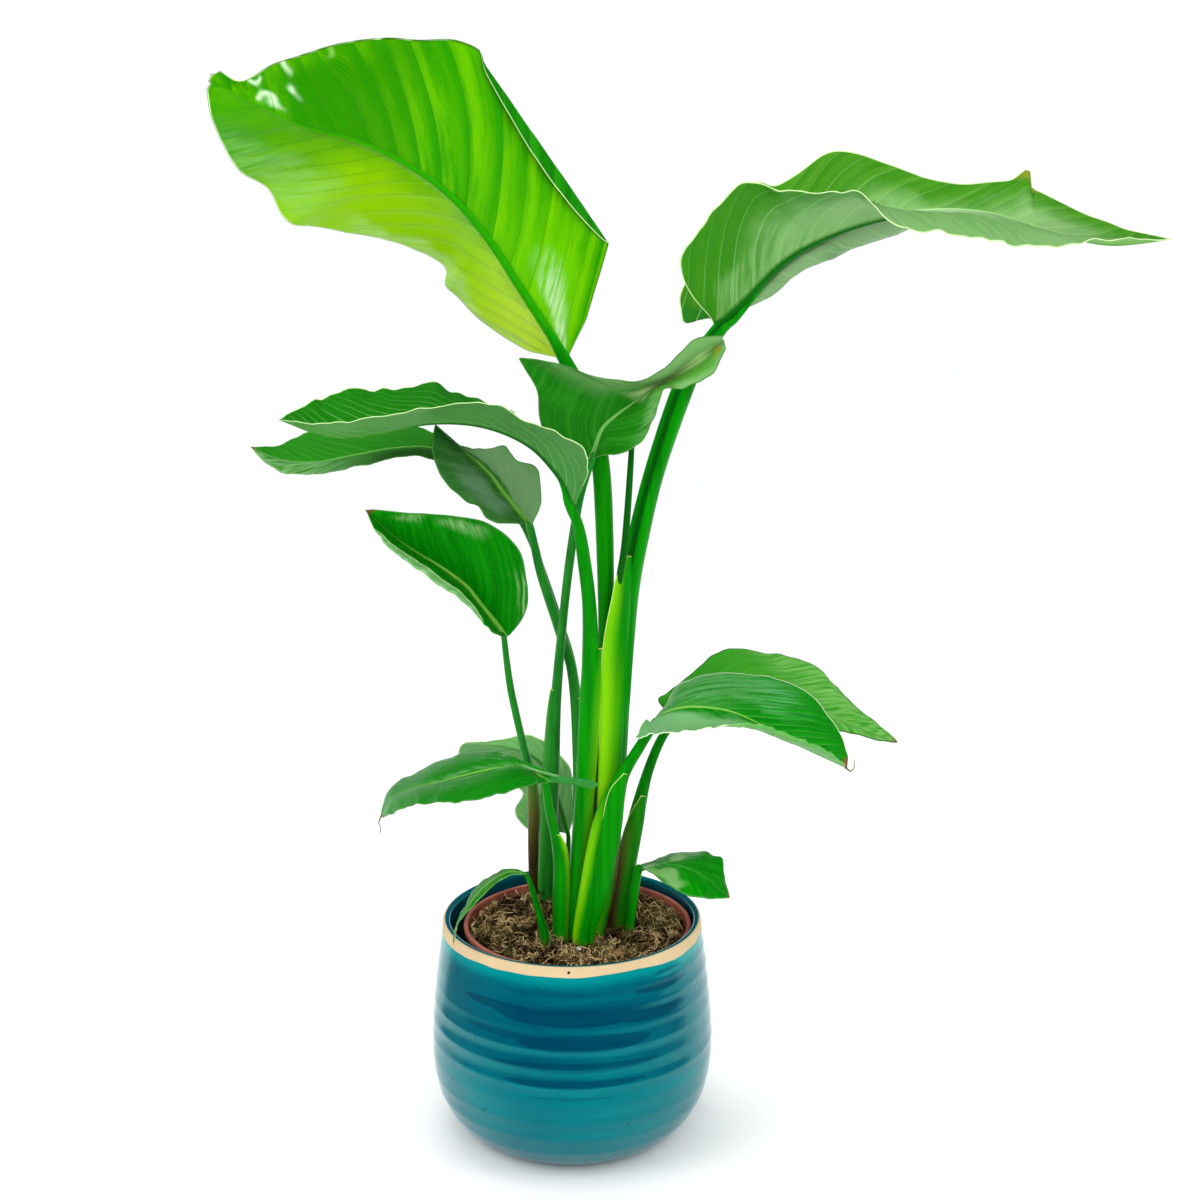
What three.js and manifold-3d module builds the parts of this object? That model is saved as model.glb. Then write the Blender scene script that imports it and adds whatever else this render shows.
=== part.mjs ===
// A potted giant white bird of paradise. Millimetres, +Z up, origin at the centre of the pot's underside.
import * as THREE from 'three';
import { mergeVertices } from 'three/addons/utils/BufferGeometryUtils.js';
import Module from 'manifold-3d';

// Glazed pot
const RIM_HEIGHT = 200;
const RIM_RADIUS = 115;
const RIM_ROUND = 3;
const FOOT_RADIUS = 72;
const POT_WALL = 7;
const POT_FLOOR = 8;
const POT_SIDES = 36;
const OUTLINE_SAMPLES = 200;
const GLAZE = { color: 0x087a86, roughness: 0.15, metalness: 0 };

// Radius and height of the pot's outer wall, from the foot over the belly to the mouth
const POT_OUTLINE = [
  [FOOT_RADIUS, 0], [92, 6], [107, 18], [119, 38], [125, 64], [126, 92], [124, 124], [120, 160],
  [RIM_RADIUS, RIM_HEIGHT - RIM_ROUND],
];

// Shallow rills that the potter's fingers left round the belly
const RILL_PITCH = 17;
const RILL_DEPTH = 0.7;
const RILL_LOWEST = 26;
const RILL_END = 182;

// Growing pot that stands inside it, a little off centre
const TUB_OFFSET = 5;
const TUB_HEIGHT = 185;
const TUB_FOOT_RADIUS = 80;
const TUB_TOP_RADIUS = 99;
const TUB_WALL = 1.4;
const TUB_CHAMFER = 3;
const TUB_LIP = 2.6;
const TUB_LIP_HEIGHT = 9;
const TUB_LIP_EDGE = 1;
const DRAIN_RADIUS = 6;
const DRAIN_CIRCLE = 52;
const DRAIN_COUNT = 6;
const DRAIN_SIDES = 12;
const TUB_PLASTIC = { color: 0xb56a58, roughness: 0.6, metalness: 0 };

// Soil, a little higher in the middle
const SOIL_TOP = 185;
const SOIL_CROWN = 2;
const SOIL_CROWN_RADIUS = 60;
const SOIL_EDGE = 3;
const PEAT = { color: 0x5a4630, roughness: 0.95, metalness: 0 };

// Clearance between pieces that fit into each other, and round a stalk in its hole
const CLEAR = 0.35;
const HOLE_CLEAR = 0.6;
const HOLE_RINGS = 4;

// Leaves
const BLADE_THICKNESS = 0.9;
const RIB_HALF_WIDTH = 2.6;
const RIB_SHARE = 0.3;
const STALK_SIDES = 8;
const GROOVE = 0.45;
const NO_GROOVE = -1;
const LEAF_ROUGHNESS = 0.4;

// The last rows of a stalk: place along the rib, depth below the blade and radius, both in rib depths
const RIB_ROOT = [[0.01, 0.45, 0.75], [0.05, 0.45, 0.25]];

// Corners nearer than this are one corner
const WELD = 1e-3;

const wasm = await Module();
wasm.setup();

const vec = (p) => new THREE.Vector3(p[0], p[1], p[2]);
const curve = (points) => new THREE.CatmullRomCurve3(points.map(vec), false, 'catmullrom');

// A closed three.js geometry as a solid that can be cut and joined.
function toSolid(geometry) {
  geometry.deleteAttribute('normal');
  geometry.deleteAttribute('uv');
  const merged = mergeVertices(geometry, WELD);
  const index = merged.index.array;
  const triVerts = [];
  for (let k = 0; k < index.length; k += 3) {
    const [a, b, c] = [index[k], index[k + 1], index[k + 2]];
    if (a !== b && b !== c && a !== c) {
      triVerts.push(a, b, c);
    }
  }
  const vertProperties = new Float32Array(merged.attributes.position.array);
  const mesh = new wasm.Mesh({ numProp: 3, vertProperties, triVerts: new Uint32Array(triVerts) });
  return new wasm.Manifold(mesh);
}

// A solid as a geometry again.
function toGeometry(solid) {
  const mesh = solid.getMesh();
  const geometry = new THREE.BufferGeometry();
  geometry.setAttribute('position', new THREE.BufferAttribute(new Float32Array(mesh.vertProperties), 3));
  geometry.setIndex(new THREE.BufferAttribute(new Uint32Array(mesh.triVerts), 1));
  geometry.computeVertexNormals();
  return geometry;
}

// A closed profile of [radius, height] points turned about the vertical axis.
function turned(profile, sides) {
  const points = profile.map(([r, z]) => new THREE.Vector2(r, z));
  const geometry = new THREE.LatheGeometry(points, sides);
  geometry.rotateX(Math.PI / 2);
  return toSolid(geometry);
}

// The radius of the pot's outer wall at a height, without the rills.
const potOutline = new THREE.SplineCurve(POT_OUTLINE.map(([r, z]) => new THREE.Vector2(r, z)));
const outlineSamples = potOutline.getPoints(OUTLINE_SAMPLES);
function potRadius(z) {
  const above = Math.max(1, outlineSamples.findIndex((p) => p.y >= z - WELD));
  const low = outlineSamples[above - 1];
  const high = outlineSamples[above];
  return THREE.MathUtils.mapLinear(z, low.y, high.y, low.x, high.x);
}

function rill(z) {
  const inside = z >= RILL_LOWEST && z < RILL_END;
  return inside ? RILL_DEPTH * Math.cos((2 * Math.PI * (z - RILL_LOWEST)) / RILL_PITCH) : 0;
}

// A full belly under a narrower mouth, with a rounded lip and an even wall.
function glazedPot() {
  const shoulder = RIM_HEIGHT - RIM_ROUND;
  const outer = [0, 1.5, 5, 10, 18];
  for (let z = RILL_LOWEST; z < RILL_END; z += RILL_PITCH / 2) {
    outer.push(z);
  }
  outer.push(RILL_END + 2 * RIM_ROUND, shoulder);
  const inner = [shoulder, 160, 110, 64, 38, 20, POT_FLOOR];
  const lipMiddle = RIM_RADIUS - POT_WALL / 2;
  const lipHalf = POT_WALL / 4;
  return turned([
    [0, 0],
    ...outer.map((z) => [potRadius(z) + rill(z), z]),
    [lipMiddle + lipHalf, RIM_HEIGHT - RIM_ROUND / 8],
    [lipMiddle, RIM_HEIGHT],
    [lipMiddle - lipHalf, RIM_HEIGHT - RIM_ROUND / 8],
    ...inner.map((z) => [potRadius(z) - POT_WALL, z]),
    [0, POT_FLOOR],
  ], POT_SIDES);
}

const TUB_BASE = POT_FLOOR + CLEAR;
const tubRadius = (z) => THREE.MathUtils.mapLinear(z, 0, TUB_HEIGHT, TUB_FOOT_RADIUS, TUB_TOP_RADIUS);

// A thin tapered pot with a turned-out lip and drain holes in its floor.
function growingPot() {
  const lipFoot = TUB_HEIGHT - TUB_LIP_HEIGHT;
  const lipRadius = tubRadius(TUB_HEIGHT) + TUB_LIP;
  const mouth = tubRadius(TUB_HEIGHT) - TUB_WALL;
  let tub = turned([
    [0, 0],
    [TUB_FOOT_RADIUS - TUB_CHAMFER, 0],
    [tubRadius(TUB_CHAMFER), TUB_CHAMFER],
    [tubRadius(lipFoot), lipFoot],
    [tubRadius(lipFoot) + TUB_LIP, lipFoot + TUB_LIP_EDGE],
    [lipRadius, TUB_HEIGHT - TUB_LIP_EDGE],
    [lipRadius - TUB_LIP_EDGE, TUB_HEIGHT],
    [mouth + TUB_LIP_EDGE, TUB_HEIGHT],
    [mouth, TUB_HEIGHT - TUB_LIP_EDGE],
    [tubRadius(TUB_CHAMFER) - TUB_WALL, TUB_CHAMFER],
    [TUB_FOOT_RADIUS - TUB_CHAMFER - TUB_WALL, TUB_WALL],
    [0, TUB_WALL],
  ], POT_SIDES);
  for (let k = 0; k < DRAIN_COUNT; k += 1) {
    const angle = (2 * Math.PI * k) / DRAIN_COUNT;
    const drain = new THREE.CylinderGeometry(DRAIN_RADIUS, DRAIN_RADIUS, 3 * TUB_WALL, DRAIN_SIDES);
    drain.rotateX(Math.PI / 2);
    drain.translate(DRAIN_CIRCLE * Math.cos(angle), DRAIN_CIRCLE * Math.sin(angle), 0);
    tub = tub.subtract(toSolid(drain));
  }
  return tub.translate([TUB_OFFSET, 0, TUB_BASE]);
}

// A stalk: a closed tube along a hand-laid route. Each row is x, y, z, half width, half depth.
// One corner of its section is drawn in towards the middle as the groove on its upper side.
function stalk(rows, rings, extra, grooveCorner) {
  const path = curve(rows);
  const size = curve(rows.map((row) => [row[3], row[4], 0]));
  const positions = [];
  const across = new THREE.Vector3(1, 0, 0);
  for (let i = 0; i <= rings; i += 1) {
    const u = i / rings;
    const centre = path.getPoint(u);
    const along = path.getTangent(u);
    const half = size.getPoint(u);
    across.addScaledVector(along, -across.dot(along)).normalize();
    const deep = new THREE.Vector3().crossVectors(along, across);
    for (let k = 0; k < STALK_SIDES; k += 1) {
      const angle = (2 * Math.PI * k) / STALK_SIDES;
      const pull = k === grooveCorner ? GROOVE : 1;
      const point = centre.clone();
      point.addScaledVector(across, pull * (half.x + extra) * Math.cos(angle));
      point.addScaledVector(deep, pull * (half.y + extra) * Math.sin(angle));
      positions.push(point.x, point.y, point.z);
    }
  }
  const first = path.getPoint(0);
  const last = path.getPoint(1);
  positions.push(first.x, first.y, first.z, last.x, last.y, last.z);
  const start = (rings + 1) * STALK_SIDES;
  const index = [];
  for (let k = 0; k < STALK_SIDES; k += 1) {
    const next = (k + 1) % STALK_SIDES;
    index.push(start, next, k);
    index.push(start + 1, rings * STALK_SIDES + k, rings * STALK_SIDES + next);
    for (let i = 0; i < rings; i += 1) {
      const a = i * STALK_SIDES + k;
      const b = i * STALK_SIDES + next;
      index.push(a, b, b + STALK_SIDES, a, b + STALK_SIDES, a + STALK_SIDES);
    }
  }
  const geometry = new THREE.BufferGeometry();
  geometry.setAttribute('position', new THREE.BufferAttribute(new Float32Array(positions), 3));
  geometry.setIndex(index);
  return toSolid(geometry);
}

// The upper-face direction at the rib.
function ribNormal(leaf, u) {
  const along = curve(leaf.rib).getTangent(u);
  const spread = curve(leaf.right).getPoint(u).sub(curve(leaf.left).getPoint(u));
  return spread.cross(along).normalize();
}

// The thin middle surface of a blade: rows from the left margin over the rib to the right margin.
function bladeGrid(leaf) {
  const [steps, half] = leaf.grid;
  const rib = curve(leaf.rib);
  const margins = [curve(leaf.left), curve(leaf.right)];
  const sags = [leaf.sagLeft ?? 0, leaf.sagRight ?? 0];
  const rows = [];
  for (let i = 0; i <= steps; i += 1) {
    const u = i / steps;
    const middle = rib.getPoint(u);
    const along = rib.getTangent(u);
    const up = ribNormal(leaf, u);
    const row = [];
    for (let j = -half; j <= half; j += 1) {
      const side = j < 0 ? 0 : 1;
      const edge = margins[side].getPoint(u);
      const reach = edge.clone().sub(middle);
      const across = reach.clone().addScaledVector(along, -reach.dot(along));
      const strip = Math.min(RIB_HALF_WIDTH, RIB_SHARE * across.length());
      const start = middle.clone().addScaledVector(across.normalize(), strip);
      const k = Math.abs(j);
      const v = Math.max(0, (k - 1) / (half - 1));
      const point = k === 0 ? middle.clone() : start.lerp(edge, v);
      point.addScaledVector(up, -sags[side] * Math.sin(Math.PI * v) * Math.sin(Math.PI * u));
      row.push(point);
    }
    rows.push(row);
  }
  return rows;
}

// A blade as a closed solid: both faces take the same triangles, and the rib stands out below.
function blade(leaf) {
  const rows = bladeGrid(leaf);
  const steps = rows.length - 1;
  const width = rows[0].length;
  const normals = rows.map((row) => row.map(() => new THREE.Vector3()));
  const faces = [];
  for (let i = 0; i < steps; i += 1) {
    for (let j = 0; j < width - 1; j += 1) {
      faces.push([[i, j], [i, j + 1], [i + 1, j + 1]], [[i, j], [i + 1, j + 1], [i + 1, j]]);
    }
  }
  for (const face of faces) {
    const [a, b, c] = face.map(([i, j]) => rows[i][j]);
    const normal = b.clone().sub(a).cross(c.clone().sub(a));
    face.forEach(([i, j]) => normals[i][j].add(normal));
  }
  const positions = [];
  const at = (i, j, lower) => 2 * (i * width + j) + lower;
  for (let i = 0; i <= steps; i += 1) {
    for (let j = 0; j < width; j += 1) {
      const normal = normals[i][j].normalize();
      const rib = j === (width - 1) / 2 ? leaf.ribDepth * (1 - i / steps) : 0;
      const top = rows[i][j].clone().addScaledVector(normal, BLADE_THICKNESS / 2);
      const bottom = rows[i][j].clone().addScaledVector(normal, -BLADE_THICKNESS / 2 - rib);
      positions.push(top.x, top.y, top.z, bottom.x, bottom.y, bottom.z);
    }
  }
  const index = [];
  for (const face of faces) {
    const [a, b, c] = face;
    index.push(at(...a, 0), at(...b, 0), at(...c, 0));
    index.push(at(...a, 1), at(...c, 1), at(...b, 1));
  }
  const wall = (from, to) => {
    index.push(at(...from, 0), at(...from, 1), at(...to, 1));
    index.push(at(...from, 0), at(...to, 1), at(...to, 0));
  };
  for (let j = 0; j < width - 1; j += 1) {
    wall([0, j], [0, j + 1]);
    wall([steps, j + 1], [steps, j]);
  }
  for (let i = 0; i < steps; i += 1) {
    wall([i + 1, 0], [i, 0]);
    wall([i, width - 1], [i + 1, width - 1]);
  }
  const geometry = new THREE.BufferGeometry();
  geometry.setAttribute('position', new THREE.BufferAttribute(new Float32Array(positions), 3));
  geometry.setIndex(index);
  return toSolid(geometry);
}

// The last rows of a stalk run into the base of the rib and end inside it.
function ribRows(leaf) {
  const rib = curve(leaf.rib);
  return RIB_ROOT.map(([u, below, radius]) => {
    const point = rib.getPoint(u).addScaledVector(ribNormal(leaf, u), -below * leaf.ribDepth);
    return [point.x, point.y, point.z, radius * leaf.ribDepth, radius * leaf.ribDepth];
  });
}

function leafSolid(leaf) {
  const whole = stalk([...leaf.stalk, ...ribRows(leaf)], leaf.rings, 0, leaf.groove);
  return blade(leaf).add(whole);
}

const LEAVES = {
  leaf_a: {
    stalk: [
      [9, -10, 160, 5, 5], [9, -10, 195, 5.5, 5], [12, -8, 233, 6, 5], [20, -7, 330, 6, 5.5],
      [27, -7, 406, 6, 5.5], [30, -9, 456, 6.5, 6], [29, -13, 544, 7.5, 6.5], [25, -17, 612, 7.5, 6],
      [14, -24, 660, 6, 5],
    ],
    rib: [
      [-3, -30, 695], [-17, -36, 720], [-39, -45, 755], [-64, -55, 794], [-92, -68, 827],
      [-125, -82, 851], [-161, -96, 868], [-201, -108, 879], [-266, -118, 911],
    ],
    left: [
      [-1, -26, 698], [17, -15, 736], [32, -8, 788], [-7, -15, 844], [-73, -38, 937],
      [-122, -58, 945], [-169, -76, 941], [-213, -92, 927], [-266, -116, 913],
    ],
    right: [
      [-4, -26, 696], [-31, -6, 700], [-60, 4, 714], [-89, 4, 740], [-106, -2, 773],
      [-177, -30, 802], [-221, -56, 813], [-253, -78, 845], [-268, -98, 879], [-269, -116, 908],
    ],
    grid: [20, 5],
    rings: 17,
    ribDepth: 4.5,
    groove: 3,
    colour: 0x5cb80f,
  },
  leaf_b: {
    stalk: [
      [24, -17, 160, 6.5, 6.5], [24, -17, 195, 7, 7], [31, -16, 233, 8, 7], [37, -16, 320, 9.5, 8],
      [41, -17, 405, 10, 8], [48, -18, 492, 9.5, 8], [57, -17, 544, 9, 7.5], [71, -14, 602, 8.5, 7.5],
      [94, -10, 670, 9, 7], [108, -9, 697, 7, 6],
    ],
    rib: [
      [121, -8, 720], [145, -14, 744], [173, -20, 773], [203, -26, 792], [240, -32, 806],
      [284, -38, 815], [331, -44, 814], [374, -50, 802], [425, -56, 789], [476, -62, 793],
    ],
    left: [
      [123, -2, 724], [92, 25, 744], [148, 55, 830], [177, 65, 835], [223, 70, 862],
      [267, 66, 853], [312, 55, 837], [376, 40, 834], [442, 5, 804], [475, -60, 793],
    ],
    right: [
      [118, -12, 725], [92, -45, 767], [130, -70, 833], [171, -85, 830], [226, -92, 827],
      [251, -97, 805], [302, -97, 797], [365, -92, 788], [421, -84, 794], [474, -64, 792],
    ],
    sagLeft: 14,
    grid: [22, 5],
    rings: 17,
    ribDepth: 4.5,
    groove: 6,
    colour: 0x1f8f1c,
  },
  leaf_c: {
    stalk: [
      [-24, 52, 160, 6, 6], [-24, 52, 195, 6.5, 6.5], [-22, 47, 240, 7, 6.5], [-18, 38, 314, 6.5, 6],
      [-14, 22, 393, 5, 5], [-7, 4, 470, 4, 4], [0, -12, 530, 4, 4], [8, -25, 580, 3.5, 3.5],
    ],
    rib: [
      [18, -34, 614], [22, -36, 627], [27, -36, 640], [36, -36, 649], [50, -35, 659],
      [66, -33, 670], [86, -31, 683], [107, -30, 697], [126, -30, 711],
    ],
    left: [
      [15, -34, 616], [-20, -50, 639], [-26, -58, 674], [-37, -60, 698], [-7, -62, 695],
      [29, -62, 682], [65, -58, 683], [101, -48, 713], [126, -34, 716],
    ],
    right: [
      [21, -36, 616], [30, -44, 619], [44, -52, 622], [58, -60, 632], [68, -66, 651],
      [76, -68, 674], [92, -64, 676], [115, -52, 686], [129, -34, 708],
    ],
    grid: [16, 4],
    rings: 14,
    ribDepth: 2.4,
    groove: 6,
    colour: 0x2f8a22,
  },
  leaf_d: {
    stalk: [
      [4, -25, 160, 6.5, 6.5], [4, -25, 195, 7, 7], [5, -25, 233, 8, 7], [11, -25, 320, 8, 7],
      [16, -26, 406, 8.5, 6.5], [17, -28, 440, 7.5, 6], [16, -32, 490, 6, 5.5], [11, -37, 535, 5.5, 5],
      [7, -41, 560, 4.5, 4.5],
    ],
    rib: [
      [3, -42, 573], [-3, -46, 593], [-13, -49, 609], [-30, -52, 627], [-54, -55, 640],
      [-82, -58, 647], [-116, -60, 647], [-152, -62, 639], [-192, -66, 637], [-232, -72, 652],
    ],
    left: [
      [6, -44, 582], [15, -76, 610], [12, -98, 632], [-9, -112, 647], [-34, -120, 658],
      [-58, -125, 671], [-94, -128, 670], [-140, -126, 662], [-189, -112, 654], [-230, -76, 652],
    ],
    right: [
      [0, -40, 577], [-8, -20, 603], [-21, -5, 622], [-42, 5, 642], [-69, 10, 655],
      [-89, 12, 661], [-118, 10, 672], [-155, 5, 665], [-202, -20, 663], [-232, -68, 653],
    ],
    grid: [18, 4],
    rings: 14,
    ribDepth: 3,
    groove: 2,
    colour: 0x2a8c20,
  },
  leaf_e: {
    stalk: [
      [13, 50, 160, 4, 4], [13, 50, 195, 4.5, 4.5], [12, 47, 250, 5, 4.5], [8, 43, 340, 4.5, 4],
      [2, 40, 414, 3, 3], [-11, 35, 462, 3, 3], [-28, 30, 515, 3, 3], [-37, 31, 538, 2.8, 2.8],
    ],
    rib: [
      [-41, 32, 548], [-57, 28, 570], [-82, 22, 598], [-116, 16, 616], [-149, 10, 617],
      [-182, 4, 612], [-215, -2, 607], [-244, -6, 610], [-267, -10, 621],
    ],
    left: [
      [-43, 26, 550], [-64, 8, 570], [-91, -8, 589], [-115, -22, 613], [-142, -30, 615],
      [-185, -34, 606], [-223, -32, 601], [-249, -24, 607], [-266, -12, 620],
    ],
    right: [
      [-39, 34, 551], [-45, 44, 576], [-71, 55, 600], [-111, 62, 619], [-150, 62, 633],
      [-188, 54, 632], [-221, 40, 629], [-247, 18, 619], [-266, -6, 620],
    ],
    grid: [16, 4],
    rings: 14,
    ribDepth: 2.2,
    groove: 2,
    colour: 0x2a8c20,
  },
  leaf_f: {
    stalk: [
      [6, 28, 160, 5, 5], [6, 28, 195, 5.5, 5.5], [7, 28, 250, 6, 5.5], [6, 27, 340, 5.5, 5],
      [1, 24, 414, 4.6, 4.6], [-10, 19, 455, 4.4, 4.4], [-25, 13, 505, 4.2, 4.2], [-31, 10, 532, 3.6, 3.6],
    ],
    rib: [
      [-34, 8, 550], [-43, 6, 562], [-52, 4, 574], [-59, 2, 583], [-65, 0, 593],
      [-76, -2, 605], [-88, -5, 616], [-100, -8, 628], [-112, -12, 640],
    ],
    left: [
      [-37, 4, 553], [-55, -10, 556], [-68, -18, 560], [-87, -24, 577], [-100, -27, 590],
      [-108, -28, 601], [-113, -26, 615], [-114, -21, 628], [-113, -13, 638],
    ],
    right: [
      [-32, 6, 554], [-25, -2, 571], [-25, -8, 588], [-28, -12, 604], [-43, -15, 610],
      [-57, -16, 621], [-73, -16, 620], [-93, -16, 624], [-112, -13, 639],
    ],
    grid: [14, 3],
    rings: 13,
    ribDepth: 2.4,
    groove: 7,
    colour: 0x1d6b22,
  },
  leaf_g: {
    stalk: [
      [-36, 66, 160, 4.5, 4.5], [-36, 66, 195, 4.8, 4.8], [-36, 58, 240, 5.3, 5], [-36, 46, 304, 5, 4.8],
      [-43, 32, 345, 3.6, 3.6], [-53, 20, 400, 3.3, 3.3], [-57, 14, 436, 2.8, 2.8],
    ],
    rib: [
      [-57, 12, 451], [-67, 10, 466], [-78, 8, 481], [-89, 5, 497], [-102, 2, 509],
      [-115, -1, 519], [-133, -4, 531], [-153, -8, 547], [-172, -14, 568],
    ],
    left: [
      [-59, 6, 453], [-69, -14, 464], [-78, -28, 479], [-92, -36, 496], [-109, -38, 508],
      [-128, -38, 523], [-147, -34, 536], [-162, -26, 551], [-171, -16, 567],
    ],
    right: [
      [-53, 12, 454], [-43, 10, 467], [-37, 6, 484], [-38, 2, 506], [-44, -2, 532],
      [-67, -5, 554], [-98, -7, 562], [-135, -9, 565], [-170, -13, 569],
    ],
    grid: [16, 4],
    rings: 14,
    ribDepth: 2.2,
    groove: 7,
    colour: 0x149016,
  },
  leaf_h: {
    stalk: [
      [-10.5, -30, 160, 6, 6], [-10.5, -30, 195, 6.3, 6], [-10, -30, 233, 6.5, 6], [-10, -32, 258, 5.5, 5.5],
      [-13, -38, 285, 4.3, 4.3], [-18, -45, 312, 4, 4], [-20, -48, 328, 3.4, 3.4],
    ],
    rib: [
      [-20, -50, 340], [-33, -50, 350], [-47, -51, 356], [-66, -52, 353], [-87, -53, 348],
      [-107, -54, 343], [-129, -55, 338], [-150, -56, 329], [-161, -58, 312],
    ],
    left: [
      [-22, -54, 340], [-27, -74, 347], [-39, -90, 349], [-60, -100, 346], [-85, -105, 342],
      [-109, -105, 341], [-132, -96, 335], [-147, -82, 324], [-160, -62, 312],
    ],
    right: [
      [-17, -50, 340], [22, -56, 341], [-5, -52, 344], [-35, -44, 355], [-62, -20, 357],
      [-90, -2, 351], [-115, 0, 343], [-137, -8, 334], [-156, -25, 327], [-162, -52, 313],
    ],
    grid: [18, 4],
    rings: 14,
    ribDepth: 2.2,
    groove: 2,
    colour: 0x1e9420,
  },
  leaf_i: {
    stalk: [[-6, 60, 160, 2.6, 2.6], [-6, 60, 195, 2.6, 2.6], [-5, 60, 225, 2.4, 2.4], [-4, 60, 246, 2.2, 2.2]],
    rib: [
      [-4, 60, 253], [-10, 62, 274], [-16, 64, 294], [-24, 66, 312], [-36, 67, 325],
      [-53, 68, 332], [-74, 68, 336], [-101, 66, 337],
    ],
    left: [
      [-3, 62, 255], [2, 70, 271], [0, 76, 288], [-2, 82, 308], [-16, 86, 325],
      [-39, 86, 340], [-72, 82, 336], [-100, 70, 338],
    ],
    right: [
      [-8, 62, 254], [-40, 70, 254], [-54, 78, 268], [-47, 86, 284], [-63, 90, 297],
      [-86, 88, 308], [-104, 80, 322], [-103, 70, 334],
    ],
    grid: [12, 3],
    rings: 7,
    ribDepth: 1.8,
    groove: 2,
    colour: 0x4c8f4a,
  },
  leaf_j: {
    stalk: [
      [10, -39.5, 160, 8, 4], [10, -39.5, 195, 9, 4.2], [18, -40, 233, 12, 4.5], [30, -39, 293, 13, 4.5],
      [38, -38, 325, 9, 4.5], [46, -37, 345, 5.5, 4.5], [60, -33, 368, 4.6, 4.2],
    ],
    rib: [
      [70, -30, 387], [79, -33, 396], [96, -36, 402], [116, -40, 403], [137, -44, 400],
      [157, -48, 392], [180, -52, 380], [206, -56, 368], [233, -60, 356],
    ],
    left: [
      [73, -26, 391], [80, -8, 393], [92, 12, 406], [115, 24, 414], [148, 30, 414],
      [179, 28, 410], [207, 14, 401], [230, -14, 377], [236, -52, 361],
    ],
    right: [
      [67, -36, 387], [56, -60, 386], [72, -82, 393], [100, -94, 399], [128, -100, 405],
      [156, -100, 404], [181, -94, 393], [210, -82, 378], [231, -64, 359],
    ],
    sagRight: 7,
    grid: [16, 4],
    rings: 14,
    ribDepth: 2.6,
    groove: 2,
    colour: 0x1c9a1c,
  },
  leaf_k: {
    stalk: [
      [41, -2, 160, 7, 6], [41, -2, 195, 8, 7], [45, -1, 240, 8.5, 7], [53, 1, 290, 7.5, 6],
      [61, 5, 325, 5.5, 5], [72, 12, 350, 4.5, 4.5], [82, 20, 363, 3.8, 3.8],
    ],
    rib: [
      [89, 26, 371], [105, 26, 385], [126, 25, 395], [153, 23, 400], [183, 18, 397],
      [213, 12, 388], [240, 12, 375], [263, 6, 367], [285, 0, 360],
    ],
    left: [
      [90, 30, 373], [77, 44, 386], [92, 58, 393], [116, 72, 410], [138, 80, 423],
      [172, 82, 420], [216, 66, 413], [249, 40, 385], [285, 4, 361],
    ],
    right: [
      [86, 22, 371], [92, 8, 371], [112, -4, 380], [142, -10, 387], [173, -14, 383],
      [205, -8, 372], [238, -2, 370], [260, -6, 365], [284, -3, 360],
    ],
    grid: [16, 4],
    rings: 14,
    ribDepth: 2.4,
    groove: 3,
    colour: 0x2f9a26,
  },
  leaf_m: {
    stalk: [[51, -17, 160, 3.8, 3.8], [51, -17, 195, 4.2, 4], [54, -16, 222, 4.8, 4], [57, -14, 240, 4.2, 3.4]],
    rib: [[58, -14, 250], [71, -18, 254], [86, -24, 256], [103, -32, 255], [119, -40, 248], [137, -48, 235]],
    left: [[60, -12, 251], [74, 0, 251], [91, 8, 255], [116, 4, 259], [130, -14, 251], [137, -44, 236]],
    right: [[60, -18, 250], [68, -34, 253], [81, -48, 248], [98, -56, 241], [116, -58, 238], [136, -50, 235]],
    grid: [10, 3],
    rings: 8,
    ribDepth: 1.8,
    groove: 2,
    colour: 0x178a1c,
  },
  leaf_n: {
    stalk: [
      [-23, -41, 160, 4, 3.5], [-23, -41, 195, 4.2, 3.5], [-27, -43, 215, 3.2, 3], [-33, -47, 240, 2.4, 2.4],
      [-36, -49, 251, 2, 2],
    ],
    rib: [
      [-38, -50, 258], [-52, -56, 262], [-65, -62, 258], [-78, -70, 249], [-88, -78, 237],
      [-96, -84, 225], [-99, -88, 209],
    ],
    left: [
      [-38, -52, 258], [-53, -62, 260], [-67, -72, 254], [-80, -82, 243], [-90, -88, 234],
      [-97, -90, 223], [-99, -89, 209],
    ],
    right: [
      [-39, -48, 258], [-52, -46, 261], [-66, -46, 256], [-81, -52, 247], [-90, -66, 235],
      [-95, -78, 227], [-98, -87, 210],
    ],
    grid: [12, 3],
    rings: 9,
    ribDepth: 1.2,
    groove: 7,
    colour: 0x3a9a4a,
  },
};

// The rolled new leaf between the stalks of the main shoot.
const SPEAR_RINGS = 16;
const SPEAR_COLOUR = 0x4aa01c;
const SPEAR = [
  [13.5, -19, 160, 1.8, 1.8], [13.5, -19, 195, 2, 2], [19, -19, 240, 2.2, 2.2], [25, -20, 330, 2.4, 2.4],
  [29, -22, 405, 2.5, 2.5], [34, -25, 450, 2.8, 2.8], [41, -29, 510, 3, 3], [46, -29.5, 545, 3, 3],
  [51, -29, 620, 2.4, 2.4], [53, -27, 662, 0.8, 0.8],
];

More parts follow.
